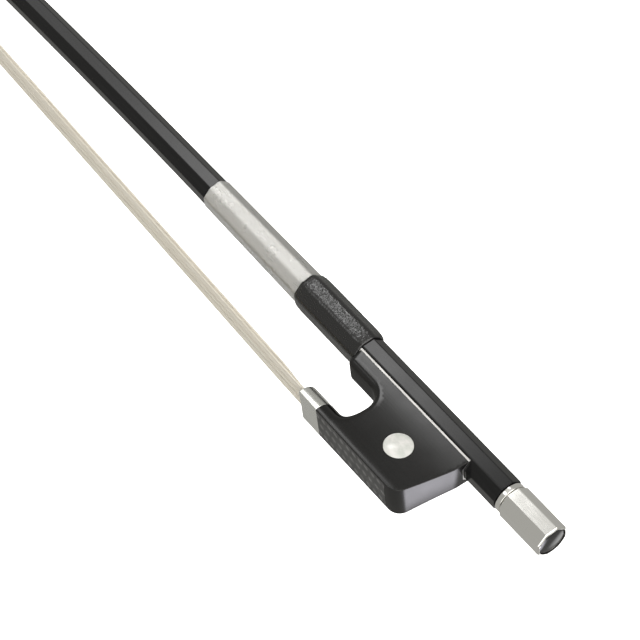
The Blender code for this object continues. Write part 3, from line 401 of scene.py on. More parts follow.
# %% Silver, wire, steel and brass
METALS = {
    "polished_silver": ((0.90, 0.89, 0.86), 0.07, 0.16, 0.000001),
    "silver_wire": ((0.88, 0.875, 0.86), 0.26, 0.31, 0.0000002),
    "satin_silver": ((0.84, 0.845, 0.815), 0.24, 0.30, 0.0000002),
    "worn_silver": ((0.66, 0.65, 0.63), 0.30, 0.42, 0.0000005),
    "steel": ((0.56, 0.56, 0.57), 0.25, 0.4, 0.000003),
    "brass": ((0.78, 0.57, 0.27), 0.2, 0.35, 0.000003),
}
for name, (colour, shine, hazy, lines) in METALS.items():
    _, tree, shader = new_finish(name, colour, Metallic=1.0)
    marks = use_group(tree, metal, Shine=shine, Haze=hazy)
    tree.links.new(marks.outputs["Roughness"], shader.inputs["Roughness"])
    relief(tree, marks.outputs["Height"], shader, lines)
print("finish", ", ".join(METALS))

# %% [markdown]
# The grip is thin goat leather with a pebbled grain. The big pebbles are in the mesh, further down, and
# the finish adds smaller ones as a relief of Voronoi cells, with a painted highlight: their middles are a
# little lighter.

# %% Leather
leather, tree, shader = new_finish("black_leather", (0.006, 0.006, 0.006), IOR=1.75)
grid = {"Vector": object_space(tree), "Scale": 2600.0}
cells = node(tree, "ShaderNodeTexVoronoi", grid, feature="SMOOTH_F1")
relief(tree, cells.outputs["Distance"], shader, 0.00005)
buff(tree, shader, 300.0, 0.14, 0.22)
# Painted highlight: the cells' middles are a little lighter than their edges.
two_tones(tree, cells.outputs["Distance"], (0.004, 0.004, 0.0043), (0.002, 0.002, 0.002), shader)
print("finish", leather.name)

# %% [markdown]
# Bleached horsehair is warm white, and no two hairs have quite the same tone. Noise stretched along the
# bow is nearly constant on one hair and changes from hair to hair.

# %% Horsehair
horsehair, tree, shader = new_finish("horsehair", (0.66, 0.60, 0.49), Roughness=0.42, IOR=1.55)
tone = stretched_noise(tree, 4000.0, (0.004, 1, 1), 1.0)
two_tones(tree, map_range(tree, tone, 0, 1), (0.86, 0.80, 0.70), (0.92, 0.88, 0.79), shader)
print("finish", horsehair.name)

# %% [markdown]
# Pearl changes tone in soft bands, as the layers of a shell do, and so do the plate under the head and
# the dark eye in the button's end. The pale ones have a clear coat over them, as a polished face has.

# %% Pearl, plate and dark eye
pearl, tree, shader = new_finish("pearl", (0.80, 0.80, 0.77), Coat_Weight=0.6, Coat_Roughness=0.05)
soft_bands(tree, shader, 520.0, (0.6, 1, 1), 4.0, (0.62, 0.64, 0.60), (0.88, 0.86, 0.84))
buff(tree, shader, 400.0, 0.18, 0.32)

plate, tree, shader = new_finish("white_plate", (0.85, 0.83, 0.77), Coat_Weight=0.3, Coat_Roughness=0.08)
soft_bands(tree, shader, 240.0, (0.3, 1, 1), 3.0, (0.80, 0.78, 0.71), (0.87, 0.86, 0.81))
buff(tree, shader, 200.0, 0.2, 0.35)

dark_eye, tree, shader = new_finish("dark_eye", (0.006, 0.006, 0.0065), IOR=1.5)
soft_bands(tree, shader, 420.0, (1, 1, 1), 3.0, (0.004, 0.004, 0.0045), (0.011, 0.011, 0.011))
buff(tree, shader, 500.0, 0.07, 0.13)
print("finish", pearl.name, plate.name, dark_eye.name)

# %% [markdown]
# The dark strip under the frog has three rows of slanted, lighter flecks. A repeated pattern is a
# distance to the middle of a cell, measured after the plane is wrapped into cells: the fractions of the
# two coordinates wrap it, and adding some of one to the other makes the columns lean.

# %% Dark shell with flecks
FLECK_ROWS = 3
FLECK_COLUMNS = 11
FLECK_SLANT = 0.55
FLECK_SIZE = (0.34, 0.22)


def shell_with_flecks():
    """Slanted ovals in rows and columns over the slide's underside."""
    finish, tree, shader = new_finish("dark_pearl", (0.03, 0.03, 0.031), IOR=1.42)
    low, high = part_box("slide_inlay")
    x, _, z = node(tree, "ShaderNodeSeparateXYZ", {"Vector": object_space(tree)}).outputs
    pitch_x = (high.x - low.x) / FLECK_COLUMNS
    pitch_z = (high.z - low.z) / FLECK_ROWS
    down = maths(tree, "DIVIDE", maths(tree, "SUBTRACT", z, low.z), pitch_z)
    along_slide = maths(tree, "DIVIDE", maths(tree, "SUBTRACT", x, low.x), pitch_x)
    leaning = maths(tree, "MULTIPLY_ADD", down, FLECK_SLANT, along_slide)
    squares = []
    for wrapped, size in zip((leaning, down), FLECK_SIZE):
        off_middle = maths(tree, "SUBTRACT", maths(tree, "FRACT", wrapped), 0.5)
        squares.append(maths(tree, "POWER", maths(tree, "DIVIDE", off_middle, size), 2.0))
    reach = maths(tree, "SQRT", maths(tree, "ADD", *squares))
    fleck = map_range(tree, reach, 1.0, 0.0, 0.7, 1.1)
    shimmer = stretched_noise(tree, 900.0, (1, 1, 1), 3.0)
    fleck = maths(tree, "MULTIPLY", fleck, map_range(tree, shimmer, 0.35, 1.0))
    two_tones(tree, fleck, (0.022, 0.022, 0.023), (0.19, 0.19, 0.19), shader)
    buff(tree, shader, 300.0, 0.25, 0.4)
    return finish


dark_shell = shell_with_flecks()
print("finish", dark_shell.name)

# %% [markdown]
# The hidden pieces get finishes too: pale maple for the wedges, and waxed thread for the knots, with
# painted shade in the grooves between its turns.

# %% Maple and thread
maple, tree, shader = new_finish("maple", (0.62, 0.47, 0.30), Roughness=0.6)
grain = use_group(tree, fibres, Scale=1800.0)
two_tones(tree, grain.outputs["Mask"], (0.50, 0.36, 0.21), (0.68, 0.53, 0.35), shader)
relief(tree, grain.outputs["Height"], shader, 0.00002)

thread, tree, shader = new_finish("thread", (0.30, 0.08, 0.06), Roughness=0.65)
ribs = {"Vector": object_space(tree), "Scale": 900.0}
turns = node(tree, "ShaderNodeTexWave", ribs, bands_direction="Y")
relief(tree, turns.outputs["Fac"], shader, 0.00005)
# Painted shade: the grooves between the turns are darker than their crowns.
two_tones(tree, turns.outputs["Fac"], (0.16, 0.04, 0.03), (0.36, 0.10, 0.08), shader)
print("finish", maple.name, thread.name)

# %% [markdown]
# ## Mesh helpers
#
# Most pieces of a bow are long and have one section that changes slowly, so they are lofts: rings of
# points joined by faces. `plain_object` makes an object of such a mesh, with its faces outward.

# %% Lofts
def loft(rings, endless=False):
    """Joins rings of places, all with one count; endless joins the last ring to the first."""
    bm = bmesh.new()
    loops = [[bm.verts.new(spot) for spot in ring] for ring in rings]
    count = len(loops[0])
    pairs = list(zip(loops, loops[1:]))
    if endless:
        pairs.append((loops[-1], loops[0]))
    for near, far in pairs:
        for i in range(count):
            j = (i + 1) % count
            bm.faces.new((near[i], near[j], far[j], far[i]))
    if not endless:
        bm.faces.new(loops[0][::-1])
        bm.faces.new(loops[-1])
    return bm


def plain_object(name, bm):
    """The mesh as an object, with faces outward."""
    bmesh.ops.remove_doubles(bm, verts=bm.verts, dist=1e-7)
    bmesh.ops.recalc_face_normals(bm, faces=bm.faces)
    data = bpy.data.meshes.new(name)
    bm.to_mesh(data)
    bm.free()
    obj = bpy.data.objects.new(name, data)
    bpy.context.scene.collection.objects.link(obj)
    return obj


print("loft helpers ready")

# %% [markdown]
# `dress` finishes a piece: smooth shading with sharp edges kept, a material, a body to ride on, and the
# CAD nodes that it stands for. Facets that should look flat take their normals from the largest face at
# each point, which a Weighted Normal modifier works out. Modifiers are applied at once by `bake`.

# %% Finishing a piece
SMOOTH_BELOW = math.radians(28)
LARGEST_FACE_ONLY = 100


def bake(obj):
    """Applies the object's modifiers to its own mesh."""
    bpy.context.view_layer.update()
    seen = obj.evaluated_get(bpy.context.evaluated_depsgraph_get())
    data = bpy.data.meshes.new_from_object(seen)
    obj.modifiers.clear()
    old = obj.data
    obj.data = data
    bpy.data.meshes.remove(old)


def combine(obj, other, operation):
    """Adds another mesh to the object or cuts it out, and removes the other."""
    knife = obj.modifiers.new("combine", "BOOLEAN")
    knife.operation = operation
    knife.solver = "EXACT"
    knife.object = other
    bake(obj)
    bpy.data.objects.remove(other)


def dress(obj, finish, body, slot_name, *stands_for, sharp=SMOOTH_BELOW, flat_facets=False):
    """Gives an object its shading, finish, body and the CAD nodes that it replaces; the slot name is not
    used.
    """
    obj.data.polygons.foreach_set("use_smooth", [True] * len(obj.data.polygons))
    obj.data.set_sharp_from_angle(angle=sharp)
    obj.data.materials.clear()
    obj.data.materials.append(finish)
    if flat_facets:
        weighted = obj.modifiers.new("flat_facets", "WEIGHTED_NORMAL")
        weighted.weight = LARGEST_FACE_ONLY
        weighted.keep_sharp = True
        bake(obj)
    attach(obj, body)
    if stands_for:
        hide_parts(*stands_for)
    print(obj.name, len(obj.data.polygons), "faces")


print("finishing helpers ready")

# %% [markdown]
# Corners of real things are never sharp. `rounded` takes the corners of an outline, each with its
# radius, and returns points with an arc at each one. `resample` spaces points evenly along a line, and
# `between` reads a value off a line of straight stretches.

# %% Outlines
def rounded(corners, steps=6):
    """Points of a closed outline whose corners (a, b, radius) are rounded by arcs."""
    points = []
    for i, (a, b, radius) in enumerate(corners):
        corner = Vector((a, b))
        if not radius:
            points.append(corner)
            continue
        first = (Vector(corners[i - 1][:2]) - corner).normalized()
        last = (Vector(corners[(i + 1) % len(corners)][:2]) - corner).normalized()
        half = first.angle(last) / 2
        centre = corner + (first + last).normalized() * radius / math.sin(half)
        start = corner + first * radius / math.tan(half) - centre
        opening = math.copysign(math.pi - 2 * half, first.cross(last))
        for k in range(steps + 1):
            turn = -opening * k / steps
            c, s = math.cos(turn), math.sin(turn)
            points.append(centre + Vector((start.x * c - start.y * s, start.x * s + start.y * c)))
    return points


def resample(points, count):
    """Places at equal steps of length along a line of points."""
    steps = [0]
    for a, b in zip(points, points[1:]):
        steps.append(steps[-1] + (b - a).length)
    spots = []
    for k in range(count):
        want = steps[-1] * k / (count - 1)
        i = max(j for j in range(len(steps) - 1) if steps[j] <= want + 1e-12)
        share = (want - steps[i]) / (steps[i + 1] - steps[i])
        spots.append(points[i].lerp(points[i + 1], min(1, share)))
    return spots


def between(value, spots):
    """Linear interpolation in a list of (place, value)."""
    for (a, low), (b, high) in zip(spots, spots[1:]):
        if value <= b:
            return low + (high - low) * max(0, (value - a) / (b - a))
    return spots[-1][1]


def octagon(flats):
    """The corners of an octagon of a size across its flats, as (y, z)."""
    reach = flats / 2 / math.cos(math.pi / 8)
    turns = [math.pi / 8 + k * math.pi / 4 for k in range(8)]
    return [(reach * math.cos(a), reach * math.sin(a)) for a in turns]


print("an octagon of 2 mm across its flats has its first corner at", octagon(2)[0])

# %% [markdown]
# `block`, `plan_block` and `bar` are mostly cutters for pockets, beds and holes, and `turned` makes what
# a lathe would.

# %% Cutters and turned pieces
def block(name, low, high):
    """A box between two bench measures."""
    bm = bmesh.new()
    bmesh.ops.create_cube(bm, size=1)
    size = [b - a for a, b in zip(low, high)]
    middle = [(a + b) / 2 for a, b in zip(low, high)]
    bmesh.ops.scale(bm, vec=size, verts=bm.verts)
    bmesh.ops.translate(bm, vec=at(*middle), verts=bm.verts)
    return plain_object(name, bm)


def plan_block(name, plan, low, high):
    """A slab between two levels, from half of its outline in plan as (x, half width)."""
    around = plan + [(x, -half) for x, half in plan[::-1]]
    return plain_object(name, loft([[at(x, y, z) for x, z in around] for y in (low, high)]))


def bar(name, radius, place, start, end, sides=48):
    """A round bar along the local Z of a place."""
    bm = bmesh.new()
    ends = {"radius1": radius, "radius2": radius, "depth": end - start}
    bmesh.ops.create_cone(bm, cap_ends=True, segments=sides, **ends)
    middle = place @ Matrix.Translation((0, 0, (start + end) / 2))
    bmesh.ops.transform(bm, matrix=middle, verts=bm.verts)
    return plain_object(name, bm)


def turned(profile, place, sides=96):
    """A ring or disc turned on the local Z of a place, from a closed profile of (radius, height)."""
    rings = []
    for k in range(sides):
        angle = 2 * math.pi * k / sides
        c, s = math.cos(angle), math.sin(angle)
        rings.append([place @ Vector((r * c, r * s, h)) for r, h in profile])
    return loft(rings, endless=True)


ALONG_STICK = Matrix.Translation(ORIGIN) @ Matrix.Rotation(math.pi / 2, 4, "Y")
print("cutters ready")

# %% [markdown]
# ## The stick
#
# The stick is octagonal. It is parallel in the handle, then tapers to the head and bends down in a
# smooth camber. One loft follows it: each ring is an octagon whose corners are eased by a fraction of a
# millimetre, because that soft arris is what catches the light.

# %% Sizes of the stick
STICK_FLATS = 0.0090
STICK_FLATS_THUMB = 0.00825
STICK_FLATS_HEAD = 0.0056
HANDLE_LENGTH = 0.088
THUMB_AT = 0.1365
CAMBER_FROM = 0.1365
CAMBER_DIP_AFTER = 0.270
CAMBER_DIP = 0.0045
STICK_ARRIS = 0.00045
NIPPLE_RADIUS = 0.0028
END_EASE = 0.0003
HEAD_HEIGHT = 0.0240
HEAD_LENGTH = 0.0275
HEAD_WIDTH = 0.0112
HEAD_BASE = 0.0022
HEAD_STICK_OVERLAP = 0.0128
FROG_DEPTH = 0.0241
HAIR_DEPTH = FROG_DEPTH - 0.0018
HAIR_THICKNESS = 0.0008
HAIR_SLOPE = 0.0205
FERRULE_MOUTH, FERRULE_REAR = along("ferrule")
TIP_X, HEAD_REAR = along("head_plate")
print("stick", round(1000 * -TIP_X), "mm long,", round(1000 * STICK_FLATS, 1), "mm across its flats")

# %% [markdown]
# The camber is a curve in two terms, a square and a cube of the distance past the handle. Two facts fix
# their factors: how far the stick dips towards the hair, and how high it stands where the head begins.

# %% The stick's line
def hair_y(x):
    """Height of the middle of the hair under the stick's axis."""
    return -HAIR_DEPTH + HAIR_SLOPE * (FERRULE_MOUTH - x)


def camber_terms():
    """The factors of the square and the cube."""
    near = CAMBER_DIP_AFTER
    far = -HEAD_REAR - CAMBER_FROM
    rise = hair_y(HEAD_REAR) + HAIR_THICKNESS / 2 + GAP + HEAD_HEIGHT - STICK_FLATS_HEAD / 2
    cube = (rise / far**2 + CAMBER_DIP / near**2) / (far - near)
    return -CAMBER_DIP / near**2 - cube * near, cube


CAMBER_SQUARE, CAMBER_CUBE = camber_terms()


def stick_y(x):
    """Height of the stick's line above its axis in the handle."""
    run = max(0, -x - CAMBER_FROM)
    return CAMBER_SQUARE * run**2 + CAMBER_CUBE * run**3


def stick_flats(x):
    """The stick's size across its flats."""
    flats = [(HANDLE_LENGTH, STICK_FLATS), (THUMB_AT, STICK_FLATS_THUMB), (-HEAD_REAR, STICK_FLATS_HEAD)]
    return between(-x, flats)


print("camber dips", round(1000 * stick_y(-CAMBER_FROM - CAMBER_DIP_AFTER), 2), "mm")

# %% [markdown]
# One section serves the stick and the head: a flat below, a flat above, and sides between them that may
# swell. In the stick it is an octagon. In the head the chamfers shrink and the sides follow the width
# of the face plate, and because every ring has the same count of points, the two join in one skin.

# %% One section for stick and head
SIDE_POINTS = 6
ARRIS_STEPS = 3
SLOPE_STEP = 0.001
OCTAGON_CHAMFER = 1 - math.tan(math.pi / 8)


def section(inner, outer, drop_in, drop_out, width, arris):
    """A ring round the line from inner to outer, both (x, y), where width(place) is half across."""
    span = outer - inner
    length = span.length
    up = span / length
    swell = length - drop_in - drop_out
    places = [0, drop_in]
    places += [drop_in + swell * (k + 1) / (SIDE_POINTS + 1) for k in range(SIDE_POINTS)]
    places += [length - drop_out, length]
    side = []
    for k, p in enumerate(places):
        half = width(inner + up * p)
        if k == 0:
            half -= drop_in
        if k == len(places) - 1:
            half -= drop_out
        eased = k in (0, 1, len(places) - 2, len(places) - 1)
        side.append((p, half, arris if eased else 0))
    outline = side + [(p, -half, ease) for p, half, ease in side[::-1]]
    ring = []
    for p, q in rounded(outline, ARRIS_STEPS):
        spot = inner + up * p
        ring.append(at(spot.x, spot.y, q))
    return ring


def stick_ring(x, ease=0.0):
    """The octagon at a station, square to the stick's line."""
    slope = (stick_y(x - SLOPE_STEP) - stick_y(x + SLOPE_STEP)) / (-2 * SLOPE_STEP)
    normal = Vector((-slope, 1)).normalized()
    middle = Vector((x, stick_y(x)))
    half = stick_flats(x) / 2 - ease
    drop = half * OCTAGON_CHAMFER
    inner, outer = middle - normal * half, middle + normal * half
    return section(inner, outer, drop, drop, lambda spot: half, STICK_ARRIS)


print("a ring has", len(stick_ring(0)), "points")

# %% [markdown]
# The head has a frame of its own, from its tip along the face plate and up from the plate. Its width
# comes from two outlines: the plate's, seen from below, and the front view, seen along the stick. At
# each place the narrower of the two holds, with a soft change from one to the other.

# %% The head's width
HEAD_PLACE = Matrix.Translation((TIP_X, hair_y(TIP_X) + HAIR_THICKNESS / 2 + GAP, 0))
HEAD_PLACE = HEAD_PLACE @ Matrix.Rotation(-math.atan(HAIR_SLOPE), 4, "Z")
SOFT_JOIN = 0.0009
PLAN_TIP = 0.13
PLAN_FULLNESS = 2.5
FRONT_WIDTHS = [(0, 0.5), (0.33, 0.42), (0.62, 0.30)]
FRONT_TOP = 0.80


def in_head(place):
    """From the bench frame to the head's own frame: from the tip, and up from the plate's face."""
    spot = HEAD_PLACE.inverted() @ Vector((place[0], place[1], 0))
    return spot.x, spot.y


def from_head(u, v):
    """From the head's own frame to the bench frame."""
    spot = HEAD_PLACE @ Vector((u, v, 0))
    return Vector((spot.x, spot.y))


def head_half_width(place):
    """Half the head's width at a place, from its plan and its front view."""
    u, v = in_head(place)
    share = min(1, max(0, u / HEAD_LENGTH))
    plan = HEAD_WIDTH / 2 * (PLAN_TIP + (1 - PLAN_TIP) * (1 - (1 - share) ** PLAN_FULLNESS))
    half = STICK_FLATS_HEAD / 2
    widths = [(height, HEAD_WIDTH * width) for height, width in FRONT_WIDTHS]
    front = between(v / HEAD_HEIGHT, [*widths, (FRONT_TOP, half), (1, half)])
    mix = max(SOFT_JOIN - abs(plan - front), 0) / SOFT_JOIN
    return min(plan, front) - mix * mix * SOFT_JOIN / 4


def stick_in_head(u):
    """Height of the stick's line in the head's own frame."""
    return in_head((TIP_X + u, stick_y(TIP_X + u)))[1]


print("the head leans", round(math.degrees(math.atan(HAIR_SLOPE)), 2), "degrees")

# %% [markdown]
# The head is a fan of sections. The inner ends run down the throat behind the head to the back of the
# plate, and the outer ends run over the crest to the tip. Both lines have a few corners with wide radii.
# Over the first rings the octagon's chamfers shrink to the small ones of the head.

# %% The head's fan
FAN_RINGS = 30
FAN_CHANGE = 0.45
HEAD_ARRIS = 0.00022
CHEEK_HEIGHT = 0.42
CREST_HEIGHT = 0.92
THROAT_LEAN = 0.0012
THROAT_REACH = 0.0045
THROAT_ROUND = 0.006
TIP_BACK = 0.0012
FRONT_AT, FRONT_ROUND = 0.0050, 0.012
CREST_AT, CREST_ROUND = 0.0125, 0.007
NECK_BEFORE, NECK_ROUND = 0.006, 0.010
PLATE_CHAMFER = 0.0004
CREST_CHAMFER = 0.0011
CREST_CHAMFER_SHARE = 0.6


def head_rings():
    """The fan's rings, from the stick's neck to the tip."""
    half = STICK_FLATS_HEAD / 2
    chamfer = half * OCTAGON_CHAMFER
    rear = HEAD_LENGTH + HEAD_STICK_OVERLAP
    behind, before = HEAD_LENGTH + THROAT_REACH, HEAD_LENGTH - NECK_BEFORE
    inner = [
        (HEAD_LENGTH, HEAD_BASE, 0),
        (HEAD_LENGTH - THROAT_LEAN, HEAD_HEIGHT * CHEEK_HEIGHT, THROAT_ROUND),
        (behind, stick_in_head(behind) - half, THROAT_ROUND),
        (rear, stick_in_head(rear) - half, 0),
    ]
    outer = [
        (TIP_BACK, HEAD_BASE, 0),
        (FRONT_AT, HEAD_HEIGHT * CHEEK_HEIGHT, FRONT_ROUND),
        (CREST_AT, HEAD_HEIGHT * CREST_HEIGHT, CREST_ROUND),
        (before, stick_in_head(before) + half, NECK_ROUND),
        (rear, stick_in_head(rear) + half, 0),
    ]
    inner, outer = (resample(rounded(line, 8), FAN_RINGS)[::-1] for line in (inner, outer))
    rings = []
    for k, (a, b) in enumerate(zip(inner, outer)):
        low, high = from_head(*a), from_head(*b)
        share = min(1, k / (FAN_RINGS * FAN_CHANGE))
        share = share * share * (3 - 2 * share)
        crest = min(CREST_CHAMFER, head_half_width(high) * CREST_CHAMFER_SHARE)
        drops = (chamfer + share * (end - chamfer) for end in (PLATE_CHAMFER, crest))
        rings.append(section(low, high, *drops, head_half_width, HEAD_ARRIS))
    return rings


print("the head fans out in", FAN_RINGS, "rings")

# %% [markdown]
# The loft starts at the eased end of the stick, runs up the camber and ends in the head. Then the holes
# that a real stick has are cut: the bore for the screw, the slot in which the eyelet slides, and the
# mortise that holds the hair.

# %% The stick piece
STICK_STATIONS = 70
SCREW_BORE = 0.00148
SLOT_ENDS = (-0.04048, -0.02752)
SLOT_LEVELS = (-0.0090, 0.0024)
SLOT_HALF_WIDTH = 0.00222
HEAD_MORTISE_FROM_TIP = 0.0110
MORTISE_LENGTH = 0.0082
MORTISE_DEPTH = 0.0068
HEAD_MORTISE_WIDTH = 0.0060
NECK_ROOM = 0.0015
BORE_ENDS = (-0.0499, 0.002)


def make_stick():
    """The stick with its head, bore, slot and mortise."""
    neck = TIP_X + HEAD_LENGTH + HEAD_STICK_OVERLAP + NECK_ROOM
    rings = [stick_ring(0, ease=END_EASE), stick_ring(-END_EASE * 0.3, ease=END_EASE * 0.3)]
    rings += [stick_ring(x) for x in (-END_EASE, -HANDLE_LENGTH, -THUMB_AT)]
    bend = neck + CAMBER_FROM
    stations = [bend * (k + 1) / STICK_STATIONS - CAMBER_FROM for k in range(STICK_STATIONS)]
    rings += [stick_ring(x) for x in stations]
    rings += head_rings()
    bm = loft(rings)
    bmesh.ops.triangulate(bm, faces=[face for face in bm.faces if len(face.verts) == 4])
    stick = plain_object("stick_lacquer", bm)
    bore = bar("bore", SCREW_BORE, ALONG_STICK, *BORE_ENDS)
    pocket = bmesh.new()
    bmesh.ops.create_cube(pocket, size=1)
    size = (MORTISE_LENGTH, HEAD_BASE + MORTISE_DEPTH, HEAD_MORTISE_WIDTH)
    bmesh.ops.scale(pocket, vec=size, verts=pocket.verts)
    middle = Vector((HEAD_MORTISE_FROM_TIP + size[0] / 2, size[1] / 2, 0))
    place = Matrix.Translation(ORIGIN) @ HEAD_PLACE @ Matrix.Translation(middle)
    bmesh.ops.transform(pocket, matrix=place, verts=pocket.verts)
    slot_low, slot_high = zip(SLOT_ENDS, SLOT_LEVELS, (-SLOT_HALF_WIDTH, SLOT_HALF_WIDTH))
    for cutter in (bore, block("slot", slot_low, slot_high), plain_object("mortise", pocket)):
        combine(stick, cutter, "DIFFERENCE")
    dress(stick, carbon, "stick", "lacquered_carbon", "stick", flat_facets=True)


make_stick()

# %% [markdown]
# A short round nipple on the stick's end centres the button. It is a turned ring, with the screw
# passing through it.

# %% The nipple
NIPPLE_CHAMFER = 0.0002

nipple_profile = [
    (NIPPLE_RADIUS, -GAP),
    (NIPPLE_RADIUS, NIPPLE_LENGTH - NIPPLE_CHAMFER),
    (NIPPLE_RADIUS - NIPPLE_CHAMFER, NIPPLE_LENGTH),
    (SCREW_BORE, NIPPLE_LENGTH),
    (SCREW_BORE, -GAP),
]
nipple = plain_object("stick_nipple", turned(nipple_profile, ALONG_STICK, 64))
dress(nipple, carbon, "stick", "lacquered_carbon")

# %% [markdown]
# ## The wire winding
#
# Some 230 turns of fine silver wire are wound round the handle. A spiral that is pressed onto the
# octagon follows a rule, so Geometry Nodes draw it: a Spiral curve, a Set Position node that moves each
# point out to the stick's surface, and Curve to Mesh for the wire.

# %% Helpers for Geometry Nodes
def new_geometry_tree(name, inputs):
    """A Geometry Nodes tree with named float, int or material inputs and one geometry output."""
    tree = bpy.data.node_groups.new(name, "GeometryNodeTree")
    tree.interface.new_socket("Geometry", in_out="INPUT", socket_type="NodeSocketGeometry")
    for label, kind in inputs.items():
        tree.interface.new_socket(label, in_out="INPUT", socket_type="NodeSocket" + kind)
    tree.interface.new_socket("Geometry", in_out="OUTPUT", socket_type="NodeSocketGeometry")
    return tree, tree.nodes.new("NodeGroupInput"), tree.nodes.new("NodeGroupOutput")


def vectors(tree, operation, first, second=None, scale=None):
    """A Vector Math node on one or two vectors, or on a vector and the number that scales it."""
    inputs = {0: first, 1: second, 3: scale}
    given = {socket: value for socket, value in inputs.items() if value is not None}
    return node(tree, "ShaderNodeVectorMath", given, operation=operation).outputs[0]


def sweep(tree, curve, profile, material, result):
    """The end of a tree: the profile swept along the curve, made real and given its material."""
    upright = node(tree, "GeometryNodeSetCurveNormal", {"Curve": curve}, mode="Z_UP").outputs[0]
    path = {"Curve": upright, "Profile Curve": profile, "Fill Caps": True}
    tube = node(tree, "GeometryNodeCurveToMesh", path)
    real = node(tree, "GeometryNodeRealizeInstances", {0: tube.outputs[0]})
    paint = {"Geometry": real.outputs[0], "Material": material}
    painted = node(tree, "GeometryNodeSetMaterial", paint)
    tree.links.new(painted.outputs[0], result.inputs[0])


def grow(tree, name, source, values):
    """Runs a tree on a mesh or curve and returns the result as a plain mesh object."""
    carrier = bpy.data.objects.new(name + "_source", source)
    bpy.context.scene.collection.objects.link(carrier)
    modifier = carrier.modifiers.new("grow", "NODES")
    modifier.node_group = tree
    for item in tree.interface.items_tree:
        if item.in_out == "INPUT" and item.name in values:
            modifier[item.identifier] = values[item.name]
    bpy.context.view_layer.update()
    seen = carrier.evaluated_get(bpy.context.evaluated_depsgraph_get())
    data = bpy.data.meshes.new_from_object(seen)
    data.name = name
    bpy.data.objects.remove(carrier)
    obj = bpy.data.objects.new(name, data)
    bpy.context.scene.collection.objects.link(obj)
    return obj


print("helpers for Geometry Nodes ready")

# %% [markdown]
# In the tree the octagon comes from wrapping the angle round each flat and dividing the flat's distance
# by the cosine. The wire can't follow a sharp corner, so a smooth minimum cuts the corners off. The
# profile of the wire is pressed flat, as on a winding that a hand has held for years, and the turns
# touch each other, so that light plays along the flats and not on each turn alone.

# %% The winding's tree
WIRE_TURNS = 232
WIRE_SAMPLES = 64
WIRE_SIDES = 4
WIRE_WRAP = 0.0003
WIRE_FLATNESS = (0.12, 1.0, 1.0)
CORNER_CUT = 1.066
CORNER_SOFTNESS = 0.00004
WINDING_SIZES = ["Length", "Turns", "Flats", "Flats at the End", "Straight Part", "Wire"]


def winding_tree():
    """A wire wound on a tapering octagonal bar along Z, from the thick end."""
    inputs = {**dict.fromkeys(WINDING_SIZES, "Float"), "Material": "Material"}
    tree, given, result = new_geometry_tree("wire_winding", inputs)
    size = given.outputs
    path = {"Resolution": WIRE_SAMPLES, "Rotations": size["Turns"], "Height": size["Length"]}
    path |= {"Start Radius": 1.0, "End Radius": 1.0}
    spiral = node(tree, "GeometryNodeCurveSpiral", path).outputs[0]
    spot = node(tree, "GeometryNodeInputPosition").outputs[0]
    x, y, z = node(tree, "ShaderNodeSeparateXYZ", {0: spot}).outputs
    eighth = math.pi / 8
    wrapped = maths(tree, "WRAP", maths(tree, "ARCTAN2", y, x), eighth, -eighth)
    ends = (size["Flats"], size["Flats at the End"], size["Straight Part"], size["Length"])
    half = maths(tree, "MULTIPLY", map_range(tree, z, *ends), 0.5)
    to_wire = maths(tree, "MULTIPLY_ADD", size["Wire"], 0.5, half)
    flat = maths(tree, "DIVIDE", to_wire, maths(tree, "COSINE", wrapped))
    cut = maths(tree, "MULTIPLY", to_wire, CORNER_CUT)
    reach = maths(tree, "SMOOTH_MIN", flat, cut, CORNER_SOFTNESS)
    outward = vectors(tree, "NORMALIZE", vectors(tree, "MULTIPLY", spot, (1, 1, 0)))
    upward = node(tree, "ShaderNodeCombineXYZ", {2: z}).outputs[0]
    place = vectors(tree, "ADD", vectors(tree, "SCALE", outward, scale=reach), upward)
    laid = node(tree, "GeometryNodeSetPosition", {"Geometry": spiral, "Position": place}).outputs[0]
    gauge = {"Resolution": WIRE_SIDES, "Radius": maths(tree, "MULTIPLY", size["Wire"], 0.5)}
    wire = node(tree, "GeometryNodeCurvePrimitiveCircle", gauge).outputs[0]
    pressed = node(tree, "GeometryNodeTransform", {"Geometry": wire, "Scale": WIRE_FLATNESS}).outputs[0]
    sweep(tree, laid, pressed, size["Material"], result)
    return tree


print("the winding's tree takes", ", ".join(WINDING_SIZES))

# %% [markdown]
# The tree winds along its own Z, so the result is turned onto the stick. Its length, the flats at both
# ends and the gauge of the wire are inputs, so another bow could have silk or whalebone instead.

# %% The winding piece
winding_front, winding_rear = along("winding")
winding_length = winding_rear - winding_front
wire_gauge = winding_length / (WIRE_TURNS + 1)
winding = grow(
    winding_tree(),
    "winding_wire",
    bpy.data.meshes.new("winding_source"),
    {
        "Length": winding_length - wire_gauge,
        "Turns": float(WIRE_TURNS),
        "Flats": STICK_FLATS + WIRE_WRAP,
        "Flats at the End": stick_flats(winding_front) + WIRE_WRAP,
        "Straight Part": HANDLE_LENGTH + winding_rear,
        "Wire": wire_gauge,
        "Material": FINISHES["silver_wire"],
    },
)
lay_along = Matrix.Translation(at(winding_rear - wire_gauge / 2))
lay_along = lay_along @ Matrix.Rotation(-math.pi / 2, 4, "Y")
winding.data.transform(lay_along)
dress(winding, FINISHES["silver_wire"], "stick", "silver_wire", "winding", sharp=math.pi)
print("wire of", round(1000 * wire_gauge, 3), "mm in", WIRE_TURNS, "turns")

# %% [markdown]
# ## The grip leather
#
# The leather is a soft octagonal sleeve over the end of the winding. Its ends thin out and round over
# towards the wire and the frog. The pebbles are real relief: each point of a fine loft moves out by the
# distance to the edges of scattered cells, so the highlights break up as they do on goat skin.

